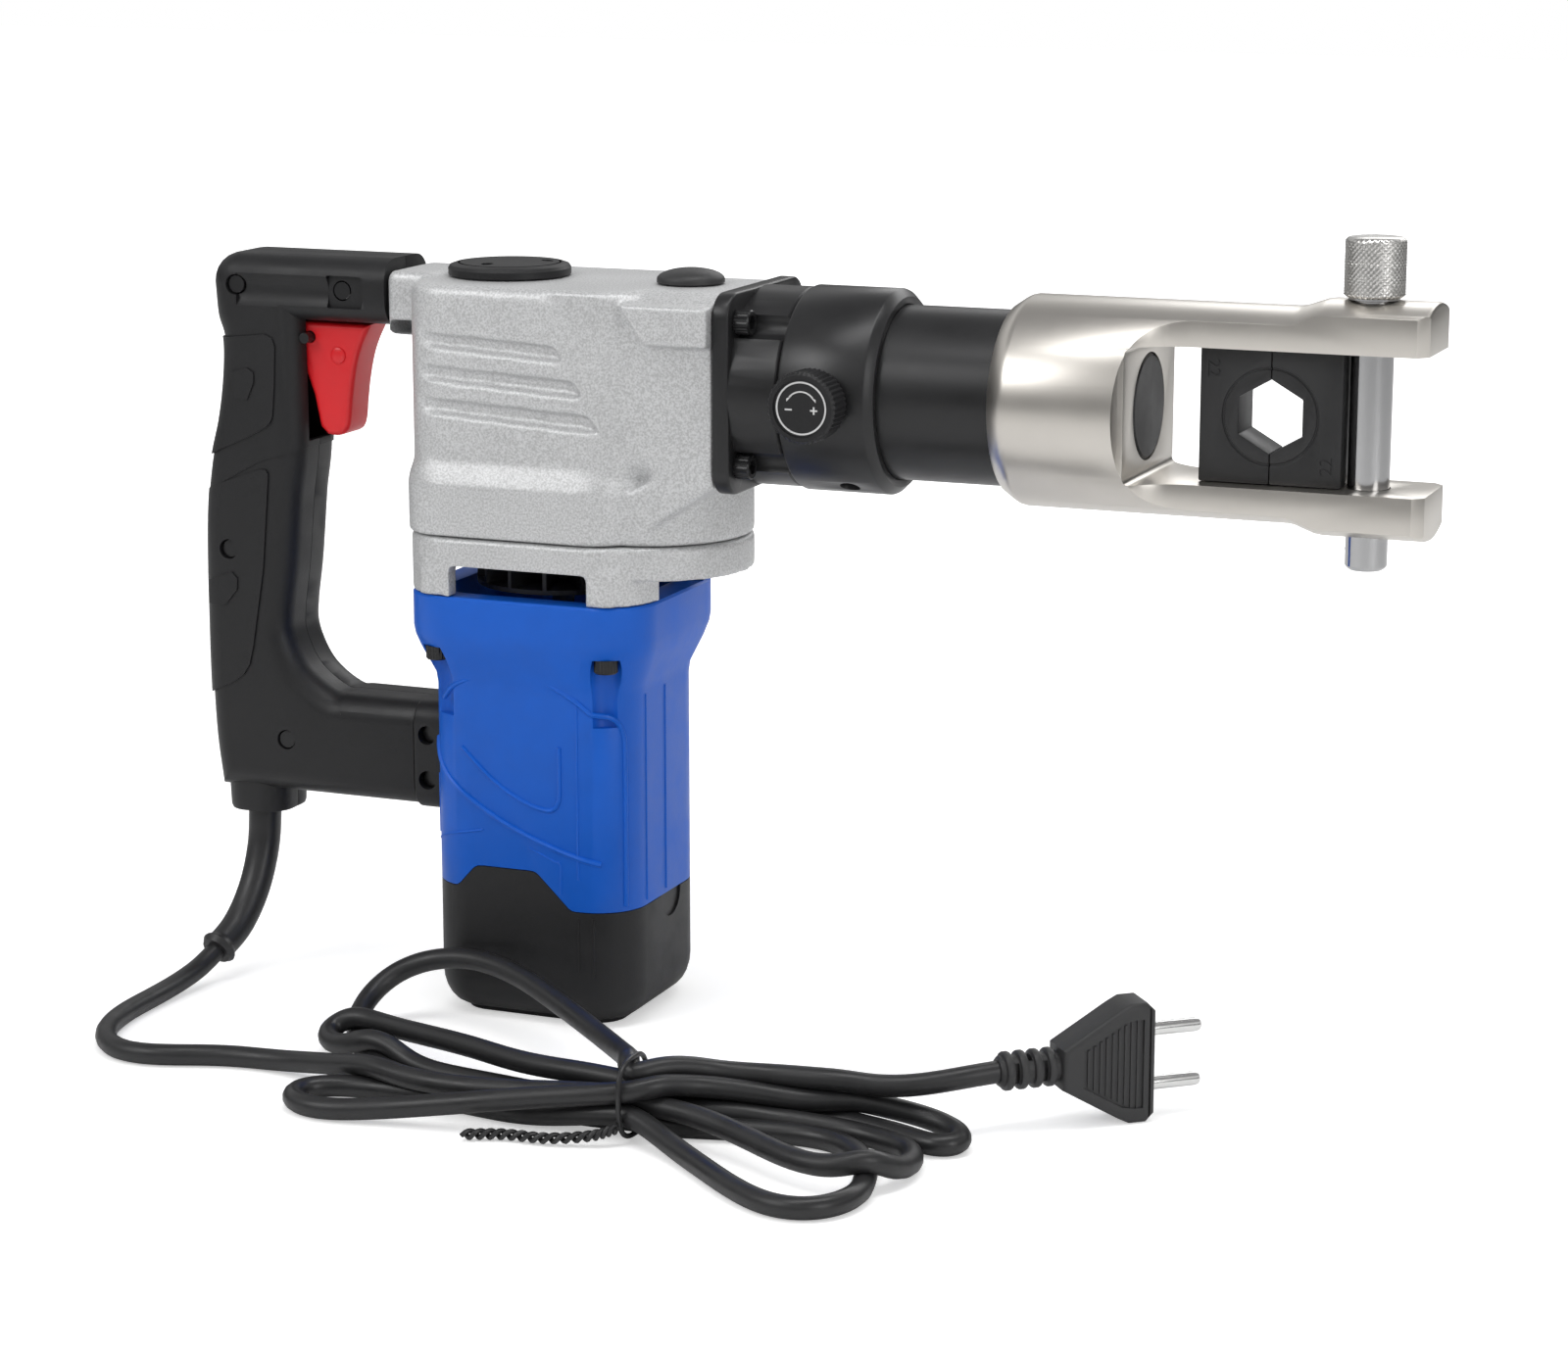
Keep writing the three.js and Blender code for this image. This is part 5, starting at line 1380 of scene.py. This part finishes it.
width_y, height_z = 2 * bracket_high.y, bracket_high.z - bracket_low.z
middle_z = (bracket_low.z + bracket_high.z) / 2
block = slab(rounded(width_y, height_z, 8, (0, middle_z)), bracket_low.x, bracket_high.x, "X")
soften(block, 0.9, 3, angle=60)
holes = []
for i in (1, 2):
    low, high = box_mm(f"bracket_screw_{i}")
    at = ((low.x + high.x) / 2, 0, (low.z + high.z) / 2)
    holes += [rod(3.5, -WIDE, -HALF + 6, "Y", at, 32), rod(1.9, -WIDE, 10, "Y", at, 16)]
made("bracket_block", carve(block, *holes), black_plastic, "tool", ["handle_bracket"])

SLEEVE = [(-126, 0, 61.5), (-126, -2.5, 46), (-126.8, -9, 31), (-128.5, -19, 19), MOUTH]


def sleeve_radius(share):
    bead = math.exp(-((share - 0.965) / 0.022) ** 2)
    return 6.2 - 0.5 * share + 1.3 * bead


line = flowing(SLEEVE, 90)
made("sleeve", swept(line, sleeve_radius, 32), cord_rubber, "tool", ["cord_sleeve"])

# %% [markdown]
# ## The plug
#
# Drawn along +X and then turned to where it lies. The neck is cut into rings so that it can bend,
# the fan has a sunken, ribbed panel on both faces, and the two round contacts stand one over the
# other because the plug lies on its edge.

# %% Plug
PLUG_HALF = box_mm("plug_body")[1].z / 2
PLUG_AT = Matrix.Translation((196.25, -83.78, PLUG_HALF)) @ Matrix.Rotation(math.radians(40), 4, "Z")
NECK = 21.0
FRONT_X = NECK + 33


def laid(bm):
    bmesh.ops.transform(bm, matrix=PLUG_AT, verts=bm.verts)
    return bm


def mirrored(points):
    return points + [(x, -z) for x, z in reversed(points)]


profile = [(0, 4.6), (0.6, 5.2)]
for ring in range(4):
    x = 1.5 + 5 * ring
    profile += [(x, 5.2), (x + 0.3, 6.3), (x + 0.8, 6.6), (x + 2.2, 6.6), (x + 2.7, 6.3), (x + 3, 5.2)]
neck = turned(profile + [(NECK + 4, 5.2)], "X", sides=64)
slots = []
for ring in range(3):
    x = 4.7 + 5 * ring
    for side in (-1, 1):
        if ring % 2:
            window = rounded(7, 3.4, 0.6, (0, side * 4.6))
        else:
            window = rounded(3.4, 7, 0.6, (side * 4.6, 0))
        slots.append(slab(window, x, x + 1.6, "X"))
neck = carve(neck, *slots)
fan = mirrored([(NECK, -7), (NECK + 20, -PLUG_HALF + 2), (NECK + 24, -PLUG_HALF), (NECK + 30, -PLUG_HALF),
                (FRONT_X, -PLUG_HALF + 3)])
wedge = slab(fan, -7.5, 7.5, "Y")
soften(wedge, 2, 5, angle=60, where=lambda p: abs(abs(p.y) - 7.5) < 0.1)
panel = mirrored([(NECK + 7, -6.4), (NECK + 21, -14.6), (NECK + 25.5, -15.4), (NECK + 28.5, -15.4)])
for low, high in ((-20, -6.6), (6.6, 20)):
    wedge = carve(wedge, slab(panel, low, high, "Y"))
    groove = slab(oblong(NECK + 30.3, -19, NECK + 31.1, 19), low, high, "Y")
    wedge = carve(wedge, groove)
ribs = []
for step in range(9):
    x = NECK + 8.5 + 2.2 * step
    reach = 5.6 + (x - NECK - 7) * 0.56
    for y in (-6.6, 6.6):
        ribs.append(slab(oblong(x, -reach, x + 0.9, reach), y - 0.45, y + 0.45, "Y"))
for side in (-1, 1):
    wedge = carve(wedge, rod(2.7, NECK + 24, FAR, "X", (0, 0, side * 9.5), 32))
plug = made("plug", laid(joined(wedge, neck, *ribs)), plug_rubber, "tool", ["plug_body"],
            sharp=35)
for side, name in ((-1, "low"), (1, "high")):
    contact = turned([(NECK + 24.3, 2.4), (NECK + 50, 2.4), (NECK + 51.3, 2.1), (NECK + 52, 1.3)], "X",
                     (0, 0, side * 9.5), 32)
    made(f"contact_{name}", laid(contact), contact_plating, "tool",
                        [f"plug_contact_{name}"])

# %% [markdown]
# ## The tie
#
# A twist tie holds the bundle: a loop of covered wire drawn tight round all the turns, its two ends
# twisted together and left lying on the floor.

# %% Twist tie
TIE_R = 0.9
strands = settled[np.abs(settled[:, 0] - TIE_X) < 4]
cord_low, cord_high = strands.min(axis=0) - CORD_R - TIE_R, strands.max(axis=0) + CORD_R + TIE_R
span_y = (cord_low[1], cord_high[1])
span_z = (max(cord_low[2], TIE_R + 0.1), cord_high[2])
mid_y, mid_z = sum(span_y) / 2, sum(span_z) / 2
half_y, half_z = (span_y[1] - span_y[0]) / 2, (span_z[1] - span_z[0]) / 2
loop = []
for step in range(73):
    a = math.tau * step / 72
    c, s = math.cos(a), math.sin(a)
    loop.append((TIE_X - 1.2 + 2.4 * step / 72, mid_y + half_y * math.copysign(abs(c) ** 0.7, c),
                 mid_z + half_z * math.copysign(abs(s) ** 0.7, s)))
start = Vector((TIE_X, span_y[0] - 0.6, 6.5))
spine = flowing([start, (TIE_X - 8, span_y[0] - 4, 4), (TIE_X - 22, span_y[0] - 8, 2.6),
                 (TIE_X - 37, span_y[0] - 9, 2.3), (TIE_X - 50, span_y[0] - 14, 2.3)], 120)
tails = []
for phase in (0, math.pi):
    twist = [Vector(p) + Vector((0, math.cos(phase + 0.42 * k), math.sin(phase + 0.42 * k))) * 1.15
             for k, p in enumerate(spine)]
    tails.append(swept(twist, TIE_R, 8))
made("twist_tie", joined(swept(loop, TIE_R, 10), *tails), cord_rubber, "tool")
